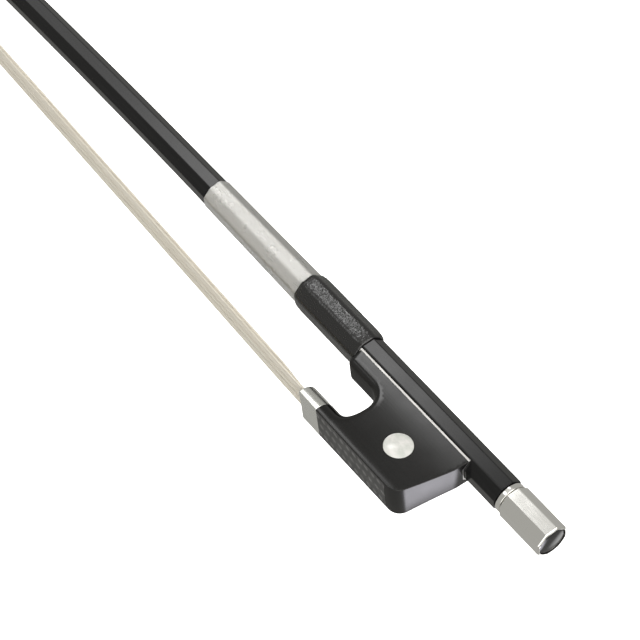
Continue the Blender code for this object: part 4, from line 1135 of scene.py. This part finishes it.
# %% Leather sleeve
LEATHER_WALL = 0.00085
LEATHER_END_WALL = 0.00035
LEATHER_END_LENGTH = 0.0042
LEATHER_CORNER = 0.0022
LEATHER_STATIONS = 190
LEATHER_ROUND = 176
BORE_CORNER = 0.0003
PEBBLE_SIZE = 0.00062
PEBBLE_RISE = 0.00006
PEBBLE_SINK = 0.7
LEATHER_SHARP = math.radians(80)
PEBBLE_STEEPNESS = 2.2
PEBBLE_FLATNESS = 0.7


def soft_octagon(flats, corner, count):
    """Points round an octagon with rounded corners, evenly spaced, as (y, z)."""
    points = rounded([(y, z, corner) for y, z in octagon(flats)])
    return resample(points + points[:1], count + 1)[:-1]


def pebble(spot):
    """How far a pebble stands out at a place: high in the middle of a cell, low along its edges."""
    distances, _ = noise.voronoi(spot / PEBBLE_SIZE)
    edge = distances[1] - distances[0]
    return min(1, edge * PEBBLE_STEEPNESS) ** PEBBLE_FLATNESS


def leather_wall(x, front, rear):
    """The wall's thickness along the sleeve, thin at both ends."""
    near = min(x - front, rear - x)
    share = max(0, 1 - near / LEATHER_END_LENGTH)
    rise = math.sqrt(max(0, 1 - share * share))
    return LEATHER_END_WALL + (LEATHER_WALL - LEATHER_END_WALL) * rise


def make_leather():
    """The sleeve, with its pebbles outside and the stick's shape inside."""
    front, rear = along("grip_leather")
    outer, inner = [], []
    for k in range(LEATHER_STATIONS + 1):
        x = front + (rear - front) * (0.5 - 0.5 * math.cos(math.pi * k / LEATHER_STATIONS))
        wall = leather_wall(x, front, rear)
        fade = min(1, 4 * min(x - front, rear - x) / LEATHER_END_LENGTH)
        flats = stick_flats(x) + 2 * (GAP + wall)
        ring = []
        for y, z in soft_octagon(flats, LEATHER_CORNER, LEATHER_ROUND):
            spot = at(x, y, z)
            out = Vector((0, y, z)).normalized()
            ring.append(spot + out * (pebble(spot) * PEBBLE_RISE * fade - PEBBLE_RISE * PEBBLE_SINK))
        outer.append(ring)
    knee = -HANDLE_LENGTH if front < -HANDLE_LENGTH < rear else (front + rear) / 2
    for x in (rear, knee, front):
        flats = stick_flats(x) + 2 * GAP
        inner.append([at(x, y, z) for y, z in soft_octagon(flats, BORE_CORNER, LEATHER_ROUND)])
    sleeve = plain_object("grip_leather_skin", loft(outer + inner, endless=True))
    dress(sleeve, leather, "stick", "black_leather", "grip_leather", sharp=LEATHER_SHARP)


make_leather()

# %% [markdown]
# ## The frog
#
# From the side the frog is an outline: the rail, the round heel, the flat underside, and the throat with
# its tongue. From the front its sides are hollow. So the body is a height field over the outline: every
# point of the outline and of a fine grid inside it gets the half width that the hollow allows, and near
# the outline the height rolls off to make the rounded edges. Delaunay triangulation joins the points.

# %% Sizes of the frog
RAIL_REAR = -0.0120
RAIL_FRONT = -0.0580
RAIL_WIDTH = 0.0086
BASE_WIDTH_FRONT = 0.0124
BASE_WIDTH_REAR = 0.0115
SIDE_HOLLOW = 1.8
SPRING_HEIGHT = 0.0010
CHANNEL_OUT = 0.00500
HEEL_UPPER_SLOPE = 0.055
HEEL_SLOPE = 0.215
HEEL_KNEE = 0.0072
HEEL_KNEE_RADIUS = 0.0150
HEEL_RADIUS = 0.0042
NOSE_RADIUS = 0.0022
THROAT_TOP = 0.0077
THROAT_BOTTOM = 0.0185
THROAT_BACK = -0.0423
THROAT_UPPER_RADIUS = 0.0052
THROAT_LOWER_RADIUS = 0.0038
THROAT_EDGE = 0.0018
FRONT_EDGE = 0.0008
FRONT_FADE = 0.0030
RAIL_TOP = -0.0010
ARRIS = 0.00016
ARC_STEPS = 20
ARCH = (BASE_WIDTH_FRONT / 2, FROG_DEPTH - SPRING_HEIGHT - THROAT_BOTTOM)


def base_half_width(x):
    """Half the frog's width at its underside, which narrows towards the heel."""
    share = (x - FERRULE_MOUTH) / (RAIL_REAR - FERRULE_MOUTH)
    return (BASE_WIDTH_FRONT + share * (BASE_WIDTH_REAR - BASE_WIDTH_FRONT)) / 2


def side_half_width(x, depth):
    """Half the frog's width at a depth under the stick's axis."""
    rail = RAIL_WIDTH / 2
    start = CHANNEL_OUT * math.sqrt(2) - rail
    share = (depth - start) / (FROG_DEPTH - SPRING_HEIGHT - start)
    return rail + (base_half_width(x) - rail) * min(1, max(0, share)) ** SIDE_HOLLOW


print("frog", round(1000 * (RAIL_REAR - RAIL_FRONT)), "mm long,", 1000 * BASE_WIDTH_FRONT, "mm wide")

# %% [markdown]
# Each point of the outline knows how its edge is rounded: how far across the frog and how far into its
# side. The throat's edge is wide, the others are a fine arris, and where the throat runs into the tongue
# the edge opens until it is the arch of the ferrule.

# %% The frog's side outline
def frog_outline():
    """The outline from the top of the front, counter-clockwise, as (place, across, into)."""
    rail = -CHANNEL_OUT / 2
    knee = (RAIL_REAR - HEEL_UPPER_SLOPE * (HEEL_KNEE + rail), -HEEL_KNEE)
    heel = (knee[0] - HEEL_SLOPE * (FROG_DEPTH - HEEL_KNEE), -FROG_DEPTH)
    front, mouth = (RAIL_FRONT, -THROAT_TOP), (FERRULE_MOUTH, -THROAT_BOTTOM)
    top, bottom = (THROAT_BACK, -THROAT_TOP), (THROAT_BACK, -THROAT_BOTTOM)
    nose = rounded([(RAIL_FRONT, RAIL_TOP, 0), (*front, NOSE_RADIUS), (*top, 0)], ARC_STEPS)
    upper = rounded([(*front, 0), (*top, THROAT_UPPER_RADIUS), (*bottom, 0)], ARC_STEPS)
    lower = rounded([(*top, 0), (*bottom, THROAT_LOWER_RADIUS), (*mouth, 0)], ARC_STEPS)
    back = [(FERRULE_REAR, -FROG_DEPTH, 0), (*heel, HEEL_RADIUS), (*knee, HEEL_KNEE_RADIUS)]
    back = rounded([*back, (RAIL_REAR, rail, 0)], ARC_STEPS)
    runs = []
    for spot in nose[:1] + [Vector((RAIL_FRONT, rail))] + nose[1:-1]:
        share = min(1, max(0, (rail - spot.y) / FRONT_FADE))
        edge = FRONT_EDGE + share * (THROAT_EDGE - FRONT_EDGE)
        runs.append((spot, edge, edge))
    runs += [(spot, THROAT_EDGE, THROAT_EDGE) for spot in upper[1:-1]]
    arc = lower[1:-1]
    for k, spot in enumerate(arc):
        share = k / (len(arc) - 1)
        share = share**3 * (10 - 15 * share + 6 * share**2)
        runs.append((spot, *(THROAT_EDGE + share * (full - THROAT_EDGE) for full in ARCH)))
    tongue_end = FERRULE_REAR + GAP
    runs.append((Vector((tongue_end, -THROAT_BOTTOM)), *ARCH))
    runs.append((Vector((tongue_end, -FROG_DEPTH)), 0.0, 0.0))
    runs.append((Vector((tongue_end + 2 * ARRIS, -FROG_DEPTH)), ARRIS, ARRIS))
    runs += [(spot, ARRIS, ARRIS) for spot in back[1:-1]]
    runs += [(Vector((RAIL_REAR, y)), ARRIS, ARRIS) for y in (rail, RAIL_TOP)]
    return runs


print("the frog's outline has", len(frog_outline()), "points")

# %% [markdown]
# Long straight runs of the outline need points between their ends, or the triangles of the sides get
# thin. The one run left whole is the flat end of the tongue behind the ferrule, where the edge drops
# from the arch to nothing. Two tests keep the grid of points inside the outline and clear of its edge.

# %% Helpers for the frog's shell
def denser(runs, step):
    """The outline with more points on its long straight parts, except on the tongue's flat end."""
    full = []
    for (a, across_a, into_a), (b, across_b, into_b) in zip(runs, runs[1:] + runs[:1]):
        count = max(1, int((b - a).length / step)) if into_b else 1
        for k in range(count):
            share = k / count
            across = across_a + share * (across_b - across_a)
            full.append((a.lerp(b, share), across, into_a + share * (into_b - into_a)))
    return full


def inside(spot, polygon):
    """Whether a place lies in a polygon: it counts the edges that a ray crosses."""
    crossings = 0
    for a, b in zip(polygon, polygon[1:] + polygon[:1]):
        if (a.y > spot.y) != (b.y > spot.y):
            if spot.x < a.x + (b.x - a.x) * (spot.y - a.y) / (b.y - a.y):
                crossings += 1
    return crossings % 2 == 1


def off_edge(spot, polygon):
    """Distance from a place to the nearest edge of a polygon."""
    nearest = math.inf
    for a, b in zip(polygon, polygon[1:] + polygon[:1]):
        run = b - a
        share = min(1, max(0, (spot - a).dot(run) / max(run.length_squared, 1e-18)))
        nearest = min(nearest, (a + run * share - spot).length_squared)
    return math.sqrt(nearest)


def join(bm, *corners):
    """A face through corners, leaving out any that coincide."""
    kept = []
    for corner in corners:
        if all((corner.co - other.co).length > 1e-7 for other in kept):
            kept.append(corner)
    if len(kept) > 2:
        bm.faces.new(kept)


print("shell helpers ready")

# %% [markdown]
# The rolled edge is a stack of rings. Each ring steps inward from the outline and outward across the
# frog on a quarter ellipse. The last ring is the border of the grid, and the same shape mirrored is the
# other side, joined by a wall along the outline. At the tongue's flat end the rings keep the direction
# of the tongue, so that the end stands square.

# %% The frog's shell of points
GRID_STEP = 0.0009
OUTLINE_STEP = 0.0012
ROLL_STEPS = 7
BORDER_ROOM = 0.0004


def frog_side(outline):
    """The rings of the rolled edge, on the side towards +Z."""
    count = len(outline)
    inward = []
    for i, (spot, _, _) in enumerate(outline):
        before = spot - outline[i - 1][0]
        following, _, edge = outline[(i + 1) % count]
        after = following - spot if edge else before
        line = (before.normalized() + after.normalized()).normalized()
        inward.append(Vector((-line.y, line.x)))
    rings = []
    for k in range(ROLL_STEPS + 1):
        turn = math.pi / 2 * k / ROLL_STEPS
        ring = []
        for (spot, across, into), direction in zip(outline, inward):
            rim = spot + direction * into
            half = side_half_width(rim.x, -rim.y)
            place = spot + direction * into * (1 - math.cos(turn))
            ring.append((place, half - min(across, half - 4 * GAP) * (1 - math.sin(turn))))
        rings.append(ring)
    return rings


def frog_shell():
    """Both sides of the frog and the wall between them, as one closed mesh."""
    outline = denser(frog_outline(), OUTLINE_STEP)
    rings = frog_side(outline)
    border = [spot for spot, half in rings[-1]]
    low_x, high_x = min(p.x for p in border), max(p.x for p in border)
    low_y, high_y = min(p.y for p in border), max(p.y for p in border)
    grid = []
    rows = int((high_y - low_y) / GRID_STEP)
    columns = int((high_x - low_x) / GRID_STEP)
    for row in range(rows):
        for column in range(columns):
            shift = 0.5 if row % 2 else 0.0
            spot = Vector((low_x + (column + shift) * GRID_STEP, low_y + (row + 0.5) * GRID_STEP))
            if inside(spot, border) and off_edge(spot, border) > BORDER_ROOM:
                grid.append(spot)
    spots, _, triangles, _, _, _ = geometry.delaunay_2d_cdt(
        border + grid, [], [list(range(len(border)))], 1, 1e-9
    )
    bm = bmesh.new()
    for side in (1, -1):
        stack = [[bm.verts.new(at(p.x, p.y, side * half)) for p, half in ring] for ring in rings]
        for near, far in zip(stack, stack[1:]):
            for i in range(len(near)):
                j = (i + 1) % len(near)
                join(bm, near[i], near[j], far[j], far[i])
        middle = [bm.verts.new(at(p.x, p.y, side * side_half_width(p.x, -p.y))) for p in spots]
        for triangle in triangles:
            join(bm, *(middle[i] for i in triangle))
        if side == 1:
            front_wall = stack[0]
        else:
            for i in range(len(front_wall)):
                j = (i + 1) % len(front_wall)
                join(bm, front_wall[i], front_wall[j], stack[0][j], stack[0][i])
    bmesh.ops.remove_doubles(bm, verts=bm.verts, dist=2e-6)
    bmesh.ops.dissolve_degenerate(bm, edges=bm.edges, dist=1e-7)
    bmesh.ops.triangulate(bm, faces=[face for face in bm.faces if len(face.verts) > 3])
    return bm


print("the grid's points stand", 1000 * GRID_STEP, "mm apart")

# %% [markdown]
# The shell gets what a frog maker cuts: the channel for the stick, the hole for the eyelet's shank, the
# bed of the slide, the channel and mortise for the hair, room for the wedge, holes for the pins of the
# lining, and a round seat for the pearl in each side.

# %% Sizes of what is cut into the frog
STICK_CHANNEL = 0.00510
CHANNEL_ENDS = (-0.060, -0.010)
TONGUE_FRONT = -0.0554
TONGUE_INSET = 0.0007
TONGUE_OVERLAP = 0.0009
FERRULE_CORNER = 0.0002
INNER_CORNER = 0.2
ARCH_STEPS = 48
UNDER_THE_FROG = -0.0300
SLIDE_BED = -0.0228
SLIDE_MARGIN = 0.0005
SLIDE_ENDS = (-0.0575, -0.0200)
HAIR_ROOM = [(-0.0574, 0.00525 + GAP), (-0.0490, 0.00451), (-0.0390, 0.0037 + GAP)]
HAIR_ROOM_TOP = -0.0218
FROG_MORTISE_FRONT = -0.0393
FROG_MORTISE_REAR = -0.0311
FROG_MORTISE_TOP = -0.0160
FROG_MORTISE_WIDTH = 0.0080
WEDGE_ROOM_FRONT = -0.0574
WEDGE_ROOM_REAR = -0.0529
WEDGE_ROOM_TOP = -0.0209
EYELET_AT = -0.0375
SHANK_RADIUS = 0.0016
SHANK_DEPTH = 0.01072
PINS_AT = (-0.0535, -0.0165)
PIN_RADIUS = 0.0007
PIN_DEPTHS = (0.004, 0.00682)
EYE_AT = -0.0271
EYE_DEPTH = 0.0139
EYE_RADIUS = 0.0040
EYE_ROOM = 0.00004
EYE_THICKNESS = 0.0008
SEAT_REACH = 0.002
DOWNWARD = Matrix.Rotation(math.pi / 2, 4, "X")
print("pearl eyes of", 2000 * EYE_RADIUS, "mm,", round(-1000 * EYE_AT, 1), "mm from the stick's end")

# %% [markdown]
# Each cutter is a simple solid on bench measures. The pearl's seat is a bar that leans with the hollow
# side, so the slope of the side is measured a millimetre above and below the seat. Before the cuts, a
# D-shaped block is welded on that carries the tongue on through the ferrule.

# %% The frog piece
def eye_place(side):
    """Where a pearl eye sits: on the hollow side, and leaning with it."""
    above, face, below = (side_half_width(EYE_AT, EYE_DEPTH + k * SLOPE_STEP) for k in (-1, 0, 1))
    lean = math.atan((below - above) / (2 * SLOPE_STEP))
    place = Matrix.Translation(at(EYE_AT, -EYE_DEPTH, side * face))
    place = place @ Matrix.Rotation(-side * lean, 4, "X")
    return place if side == 1 else place @ Matrix.Rotation(math.pi, 4, "X")


def d_ring(x, inset):
    """The ferrule's section at a station: flat base, short straight sides and an arch."""
    half = BASE_WIDTH_FRONT / 2 - inset
    base = -FROG_DEPTH + inset
    spring = -FROG_DEPTH + SPRING_HEIGHT
    crown = -THROAT_BOTTOM - inset
    ease = FERRULE_CORNER - inset * INNER_CORNER
    foot = [(half, spring, 0), (half, base, ease), (-half, base, ease), (-half, spring, 0)]
    points = rounded(foot)[:-1]
    turns = [math.pi * k / ARCH_STEPS for k in range(ARCH_STEPS)]
    points += [Vector((-half * math.cos(t), spring + (crown - spring) * math.sin(t))) for t in turns]
    return [at(x, y, z) for z, y in points]


def mid_block(name, front, rear, low, top, width):
    """A block that stands evenly on both sides of the bow's middle."""
    return block(name, (front, low, -width / 2), (rear, top, width / 2))


def make_frog():
    """The ebony body, with the tongue welded on and everything cut in."""
    frog = plain_object("frog_ebony", frog_shell())
    tongue_rings = [d_ring(x, TONGUE_INSET) for x in (TONGUE_FRONT, FERRULE_REAR + TONGUE_OVERLAP)]
    tongue = plain_object("tongue", loft(tongue_rings))
    combine(frog, tongue, "UNION")
    corners = octagon(2 * STICK_CHANNEL)
    channel = plain_object("channel", loft([[at(x, y, z) for y, z in corners] for x in CHANNEL_ENDS]))
    bed = [(x, base_half_width(x) - SLIDE_MARGIN + GAP) for x in SLIDE_ENDS]
    downward = [Matrix.Translation(at(x)) @ DOWNWARD for x in (EYELET_AT, *PINS_AT)]
    mortise = (FROG_MORTISE_FRONT, FROG_MORTISE_REAR, -FROG_DEPTH, FROG_MORTISE_TOP, FROG_MORTISE_WIDTH)
    wedge = (WEDGE_ROOM_FRONT, WEDGE_ROOM_REAR, -FROG_DEPTH, WEDGE_ROOM_TOP, 2 * FROG_DEPTH)
    seat = (-EYE_THICKNESS - GAP, SEAT_REACH)
    cutters = [
        channel,
        bar("shank", SHANK_RADIUS, downward[0], 0, SHANK_DEPTH, 64),
        plan_block("bed", bed, UNDER_THE_FROG, SLIDE_BED),
        plan_block("hair_room", HAIR_ROOM, UNDER_THE_FROG, HAIR_ROOM_TOP),
        mid_block("frog_mortise", *mortise),
        mid_block("wedge_room", *wedge),
        *(bar("pin", PIN_RADIUS, place, *PIN_DEPTHS, 32) for place in downward[1:]),
        *(bar("seat", EYE_RADIUS + EYE_ROOM, eye_place(side), *seat, 96) for side in (1, -1)),
    ]
    for cutter in cutters:
        combine(frog, cutter, "DIFFERENCE")
    dress(frog, ebony, "frog", "ebony", "frog_body")


make_frog()

# %% [markdown]
# ## Ferrule and eyes
#
# The ferrule is a D-shaped tube. Its rings run along the outside, round the lip and back along the
# inside, so one endless loft makes a closed piece with soft lips. The eyes are turned discs whose rim
# is eased by a few hundredths of a millimetre.

# %% Ferrule and eyes
FERRULE_WALL = 0.0006
OUTER_LIP = 0.00022
INNER_LIP = 0.0002
SMALL_EASE = 0.00006
REAR_EASE = 0.00008
PEARL_EASE = 0.00008
PEARL_PROUD = 0.00005


def make_ferrule():
    """The tube, from the middle of its rounded lip round to the inside of the mouth."""
    rings = []
    for k in range(5):
        turn = math.pi / 2 * (4 - k) / 4
        inset = OUTER_LIP * (1 - math.cos(turn))
        rings.append((FERRULE_MOUTH + OUTER_LIP * (1 - math.sin(turn)), inset))
    rings += [(FERRULE_REAR - REAR_EASE, 0.0), (FERRULE_REAR, SMALL_EASE), (FERRULE_REAR, FERRULE_WALL)]
    rings += [
        (FERRULE_MOUTH + INNER_LIP, FERRULE_WALL),
        (FERRULE_MOUTH + SMALL_EASE, FERRULE_WALL - SMALL_EASE),
        (FERRULE_MOUTH, FERRULE_WALL - INNER_LIP),
    ]
    tube = loft([d_ring(x, inset) for x, inset in rings], endless=True)
    ferrule = plain_object("ferrule_silver", tube)
    dress(ferrule, FINISHES["satin_silver"], "frog", "polished_silver", "ferrule")


def make_eye(side, node_name):
    """A pearl disc in its seat."""
    ease, proud = PEARL_EASE, PEARL_PROUD
    profile = [(0, proud), (EYE_RADIUS - ease, proud), (EYE_RADIUS - ease * 0.3, proud - ease * 0.3)]
    profile += [(EYE_RADIUS, proud - ease), (EYE_RADIUS, -EYE_THICKNESS), (0, -EYE_THICKNESS)]
    eye = plain_object(node_name + "_pearl", turned(profile, eye_place(side)))
    dress(eye, pearl, "frog", "pearl", node_name)


make_ferrule()
make_eye(1, "frog_eye_left")
make_eye(-1, "frog_eye_right")

# %% [markdown]
# ## The button
#
# The button is a silver octagon with eased corners and a small chamfer at both ends. Between it and the
# stick sits a polished ring, and its end holds a domed dark eye.

# %% Button sizes
BUTTON_FLATS = 0.0093
BUTTON_BORE = 0.0038
BUTTON_CHAMFER = 0.0004
BUTTON_ARRIS = 0.00022
EYE_SEAT_RADIUS = 0.0043
BUTTON_EYE_RADIUS = 0.0042
BUTTON_EYE_THICKNESS = 0.0012
BUTTON_EYE_DOME = 0.0005
COLLAR_RADIUS = 0.00456
COLLAR_ROUND = 0.0002
BUTTON_START, BUTTON_END = along("button_shell")
COLLAR_START, COLLAR_END = along("button_collar")
BUTTON_SOFTNESS = 0.00007
EYE_SEAT_EASE = 0.00004
ROUND_POINTS = 104


def octagon_ring(x, drop):
    """The button's outer ring, moved in by a drop."""
    arris = max(0.00005, BUTTON_ARRIS - drop / 4)
    return [at(x, y, z) for y, z in soft_octagon(BUTTON_FLATS - 2 * drop, arris, ROUND_POINTS)]


def round_ring(x, radius):
    """A circle whose points stand opposite those of the octagon."""
    points = []
    for y, z in soft_octagon(BUTTON_FLATS, BUTTON_ARRIS, ROUND_POINTS):
        aim = Vector((y, z)).normalized() * radius
        points.append(at(x, aim.x, aim.y))
    return points


print("button", round(1000 * (BUTTON_END - COLLAR_START), 1), "mm long with its collar")

# %% [markdown]
# The chamfer is a short slope with a soft start and end. The rings run out over the octagon, into the
# seat of the eye, back along the bore, and close on the front face.

# %% Button shell, collar and eye
def make_shell():
    """The silver octagon with its chamfers, its bore and the seat of the eye."""
    front, rear, soft = BUTTON_START, BUTTON_END, BUTTON_SOFTNESS
    chamfer = [(0.0, BUTTON_CHAMFER + soft), (soft * 0.4, BUTTON_CHAMFER), (BUTTON_CHAMFER, soft * 0.4)]
    chamfer.append((BUTTON_CHAMFER + soft, 0.0))
    rings = [octagon_ring(front + step, drop) for step, drop in chamfer]
    rings += [octagon_ring((front + rear) / 2, 0.0)]
    rings += [octagon_ring(rear - step, drop) for step, drop in chamfer[::-1]]
    eye_back = rear - BUTTON_EYE_THICKNESS - GAP
    bore = [(rear, EYE_SEAT_RADIUS + EYE_SEAT_EASE), (rear - EYE_SEAT_EASE, EYE_SEAT_RADIUS)]
    bore += [(eye_back, EYE_SEAT_RADIUS), (eye_back, BUTTON_BORE), (front, BUTTON_BORE)]
    rings += [round_ring(x, radius) for x, radius in bore]
    shell = plain_object("button_silver", loft(rings, endless=True))
    silver = FINISHES["polished_silver"]
    dress(shell, silver, "adjuster", "polished_silver", "button_shell", flat_facets=True)


def make_collar():
    """The polished ring, with both of its outer edges rounded."""
    arc = [math.pi / 2 * k / 6 for k in range(7)]
    profile = [(NIPPLE_RADIUS + GAP, COLLAR_END), (NIPPLE_RADIUS + GAP, COLLAR_START)]
    shoulder = COLLAR_RADIUS - COLLAR_ROUND
    for end, inward, turns in ((COLLAR_START, COLLAR_ROUND, arc), (COLLAR_END, -COLLAR_ROUND, arc[::-1])):
        steps = [(math.sin(a), 1 - math.cos(a)) for a in turns]
        profile += [(shoulder + COLLAR_ROUND * out, end + inward * back) for out, back in steps]
    collar = plain_object("collar_silver", turned(profile, ALONG_STICK, 128))
    dress(collar, FINISHES["polished_silver"], "adjuster", "polished_silver", "button_collar")


def make_button_eye():
    """The domed eye in the button's end."""
    rim = BUTTON_END - BUTTON_EYE_DOME
    back = BUTTON_END - BUTTON_EYE_THICKNESS
    arc = [math.pi / 2 * k / 16 for k in range(17)]
    profile = [(BUTTON_EYE_RADIUS * math.sin(a), rim + BUTTON_EYE_DOME * math.cos(a)) for a in arc]
    profile += [(BUTTON_EYE_RADIUS, back), (0, back)]
    eye = plain_object("button_eye_shell", turned(profile, ALONG_STICK, 128))
    dress(eye, dark_eye, "adjuster", "dark_pearl", "button_eye")


make_shell()
make_collar()
make_button_eye()

# %% [markdown]
# ## The hair
#
# A bow carries a flat ribbon of hair. Geometry Nodes copy a guide line once for every strand, spread the
# copies over the ribbon's width and thickness, let each wander a little, and sweep a thin profile along
# it. Two attributes on the guide's points say how wide the ribbon is there and how thick its layer is.

# %% The hair's tree
HAIR_COUNT = 300
HAIR_RADIUS = 0.00012
HAIR_SIDES = 4
HAIR_WANDER = 0.00010
HAIR_BELOW = -0.45
WANDER_PACE = (28.0, 0.0, 0.0)


def hair_tree():
    """Spreads copies of a guide curve over the ribbon, and sweeps a thin profile along each."""
    inputs = {"Hairs": "Int", "Hair Radius": "Float", "Wander": "Float", "Material": "Material"}
    tree, given, result = new_geometry_tree("hair_ribbon", inputs)
    size = given.outputs
    line = node(tree, "GeometryNodeMeshToCurve", {0: size["Geometry"]}).outputs[0]
    half_width, layer = (
        node(tree, "GeometryNodeInputNamedAttribute", {"Name": name}, data_type="FLOAT").outputs[0]
        for name in ("half_width", "layer")
    )
    amount = {"Geometry": line, "Amount": size["Hairs"]}
    copies = node(tree, "GeometryNodeDuplicateElements", amount, domain="SPLINE")
    number = copies.outputs["Duplicate Index"]
    share = maths(tree, "DIVIDE", number, maths(tree, "SUBTRACT", size["Hairs"], 1.0))
    across = maths(tree, "MULTIPLY", maths(tree, "MULTIPLY_ADD", share, 2.0, -1.0), half_width)
    levels = {2: HAIR_BELOW, 3: 1.0, "ID": number}
    level = node(tree, "FunctionNodeRandomValue", levels, data_type="FLOAT").outputs[1]
    tangent = node(tree, "GeometryNodeInputTangent").outputs[0]
    up = vectors(tree, "CROSS_PRODUCT", tangent, (0.0, 0.0, -1.0))
    spot = node(tree, "GeometryNodeInputPosition").outputs[0]
    own = node(tree, "ShaderNodeCombineXYZ", {1: number}).outputs[0]
    seed = vectors(tree, "ADD", vectors(tree, "MULTIPLY", spot, WANDER_PACE), own)
    drift = node(tree, "ShaderNodeTexNoise", {"Vector": seed, "Scale": 1.0, "Detail": 1.0})
    swing = maths(tree, "MULTIPLY_ADD", drift.outputs["Fac"], 2.0, -1.0)
    sway = maths(tree, "MULTIPLY_ADD", swing, size["Wander"], across)
    lift = vectors(tree, "SCALE", up, scale=maths(tree, "MULTIPLY", level, layer))
    move = vectors(tree, "ADD", lift, node(tree, "ShaderNodeCombineXYZ", {2: sway}).outputs[0])
    laid = node(tree, "GeometryNodeSetPosition", {"Geometry": copies.outputs[0], "Offset": move})
    circle = {"Resolution": HAIR_SIDES, "Radius": size["Hair Radius"]}
    profile = node(tree, "GeometryNodeCurvePrimitiveCircle", circle)
    sweep(tree, laid.outputs[0], profile.outputs[0], size["Material"], result)
    return tree


print(HAIR_COUNT, "strands of", round(2000 * HAIR_RADIUS, 2), "mm")

# %% [markdown]
# The guide comes out of the head's mortise, turns under the plate, runs to the ferrule and turns up into
# the frog's mortise. The ribbon is narrow in the mortises, and widest where the wedge spreads it. The
# strands lie close together where they are tied and looser in between.

# %% The hair's guide
HAIR_WIDTH_FROG = 0.0105
HAIR_WIDTH_HEAD = 0.0090
HAIR_SIDE_ROOM = 0.0003
HAIR_STATIONS = 60
TURN_STEPS = 8
PLATE_REAR = TIP_X + HEAD_LENGTH
HAIR_MARGIN = 0.00011
HAIR_LAYER_TIED = 0.00028
HAIR_LAYER_LOOSE = 0.00085
HAIR_LOOSENS = 0.010


def hair_guide():
    """Places (x, y) of the ribbon's middle, from the head's mortise to the frog's."""
    radius = HAIR_THICKNESS / 2 + GAP
    rise = MORTISE_DEPTH / 2
    wall = HEAD_MORTISE_FROM_TIP + MORTISE_LENGTH - GAP - HAIR_THICKNESS / 2
    turns = [math.pi / 2 * k / TURN_STEPS for k in range(TURN_STEPS + 1)]
    head = [(wall, rise)]
    head += [(wall + radius * (1 - math.cos(a)), -radius * math.sin(a)) for a in turns]
    head.append((HEAD_LENGTH, -radius))
    points = [from_head(u, v) for u, v in head]
    for k in range(1, HAIR_STATIONS + 1):
        x = PLATE_REAR + (FERRULE_MOUTH - PLATE_REAR) * k / HAIR_STATIONS
        points.append(Vector((x, hair_y(x))))
    wall = FROG_MORTISE_FRONT + GAP + HAIR_THICKNESS / 2
    for a in turns:
        x, y = wall - radius * (1 - math.sin(a)), radius * (1 - math.cos(a)) - HAIR_DEPTH
        points.append(Vector((x, y)))
    points.append(Vector((wall, radius + rise - HAIR_DEPTH)))
    return points


def hair_half_width(x):
    """Half the ribbon's width: it spreads from each mortise and is widest at the ferrule."""
    mortise_rear = TIP_X + HEAD_MORTISE_FROM_TIP + MORTISE_LENGTH
    spots = [
        (mortise_rear, HEAD_MORTISE_WIDTH / 2 - HAIR_SIDE_ROOM),
        (PLATE_REAR, HAIR_WIDTH_HEAD / 2),
        (FERRULE_MOUTH, HAIR_WIDTH_FROG / 2),
        (FROG_MORTISE_FRONT, FROG_MORTISE_WIDTH / 2 - HAIR_SIDE_ROOM),
    ]
    return between(x, spots)


def hair_layer(x):
    """How far the hairs rise above each other: close together where they are tied, looser between."""
    spots = [
        (PLATE_REAR, HAIR_LAYER_TIED),
        (PLATE_REAR + HAIR_LOOSENS, HAIR_LAYER_LOOSE),
        (FERRULE_MOUTH - HAIR_LOOSENS, HAIR_LAYER_LOOSE),
        (FERRULE_MOUTH, HAIR_LAYER_TIED),
    ]
    return between(x, spots)


print("the hair's guide has", len(hair_guide()), "points")

# %% [markdown]
# Blender keeps named attributes on the points of a mesh, so the guide is a mesh of edges that carries
# both measures into the tree.

# %% The hair piece
def make_hair():
    """The strands, grown on the guide."""
    points = hair_guide()
    bm = bmesh.new()
    spots = [bm.verts.new(at(p.x, p.y)) for p in points]
    for a, b in zip(spots, spots[1:]):
        bm.edges.new((a, b))
    source = bpy.data.meshes.new("hair_guide")
    bm.to_mesh(source)
    bm.free()
    widths = [hair_half_width(p.x) - HAIR_RADIUS - HAIR_MARGIN for p in points]
    layers = [hair_layer(p.x) for p in points]
    for name, values in (("half_width", widths), ("layer", layers)):
        source.attributes.new(name, "FLOAT", "POINT").data.foreach_set("value", values)
    sizes = {"Hairs": HAIR_COUNT, "Hair Radius": HAIR_RADIUS, "Wander": HAIR_WANDER}
    hair = grow(hair_tree(), "hair_strands", source, {**sizes, "Material": horsehair})
    hair.data.materials.clear()
    hair.data.materials.append(horsehair)
    hair.data.polygons.foreach_set("use_smooth", [True] * len(hair.data.polygons))
    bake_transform(hair)
    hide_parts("hair")
    print(hair.name, len(hair.data.polygons), "faces")


make_hair()

# %% [markdown]
# ## Finish the rest of the frame
#
# The nodes that keep their CAD shape get a finish too. The record names a material slot for every node,
# and each slot's name is also a finish here. Only the silver lining under the stick differs: it is worn.

# %% Finishes for the CAD nodes
FINISH_BY_NODE = {"underslide": "worn_silver"}
slots = {row["node"]: row["material_slot"] for row in frame["record"]["subparts"]}
for name, obj in frame["nodes"].items():
    obj.data.materials.clear()
    obj.data.materials.append(FINISHES[FINISH_BY_NODE.get(name, slots[name])])
print(len(slots), "nodes have their finish")
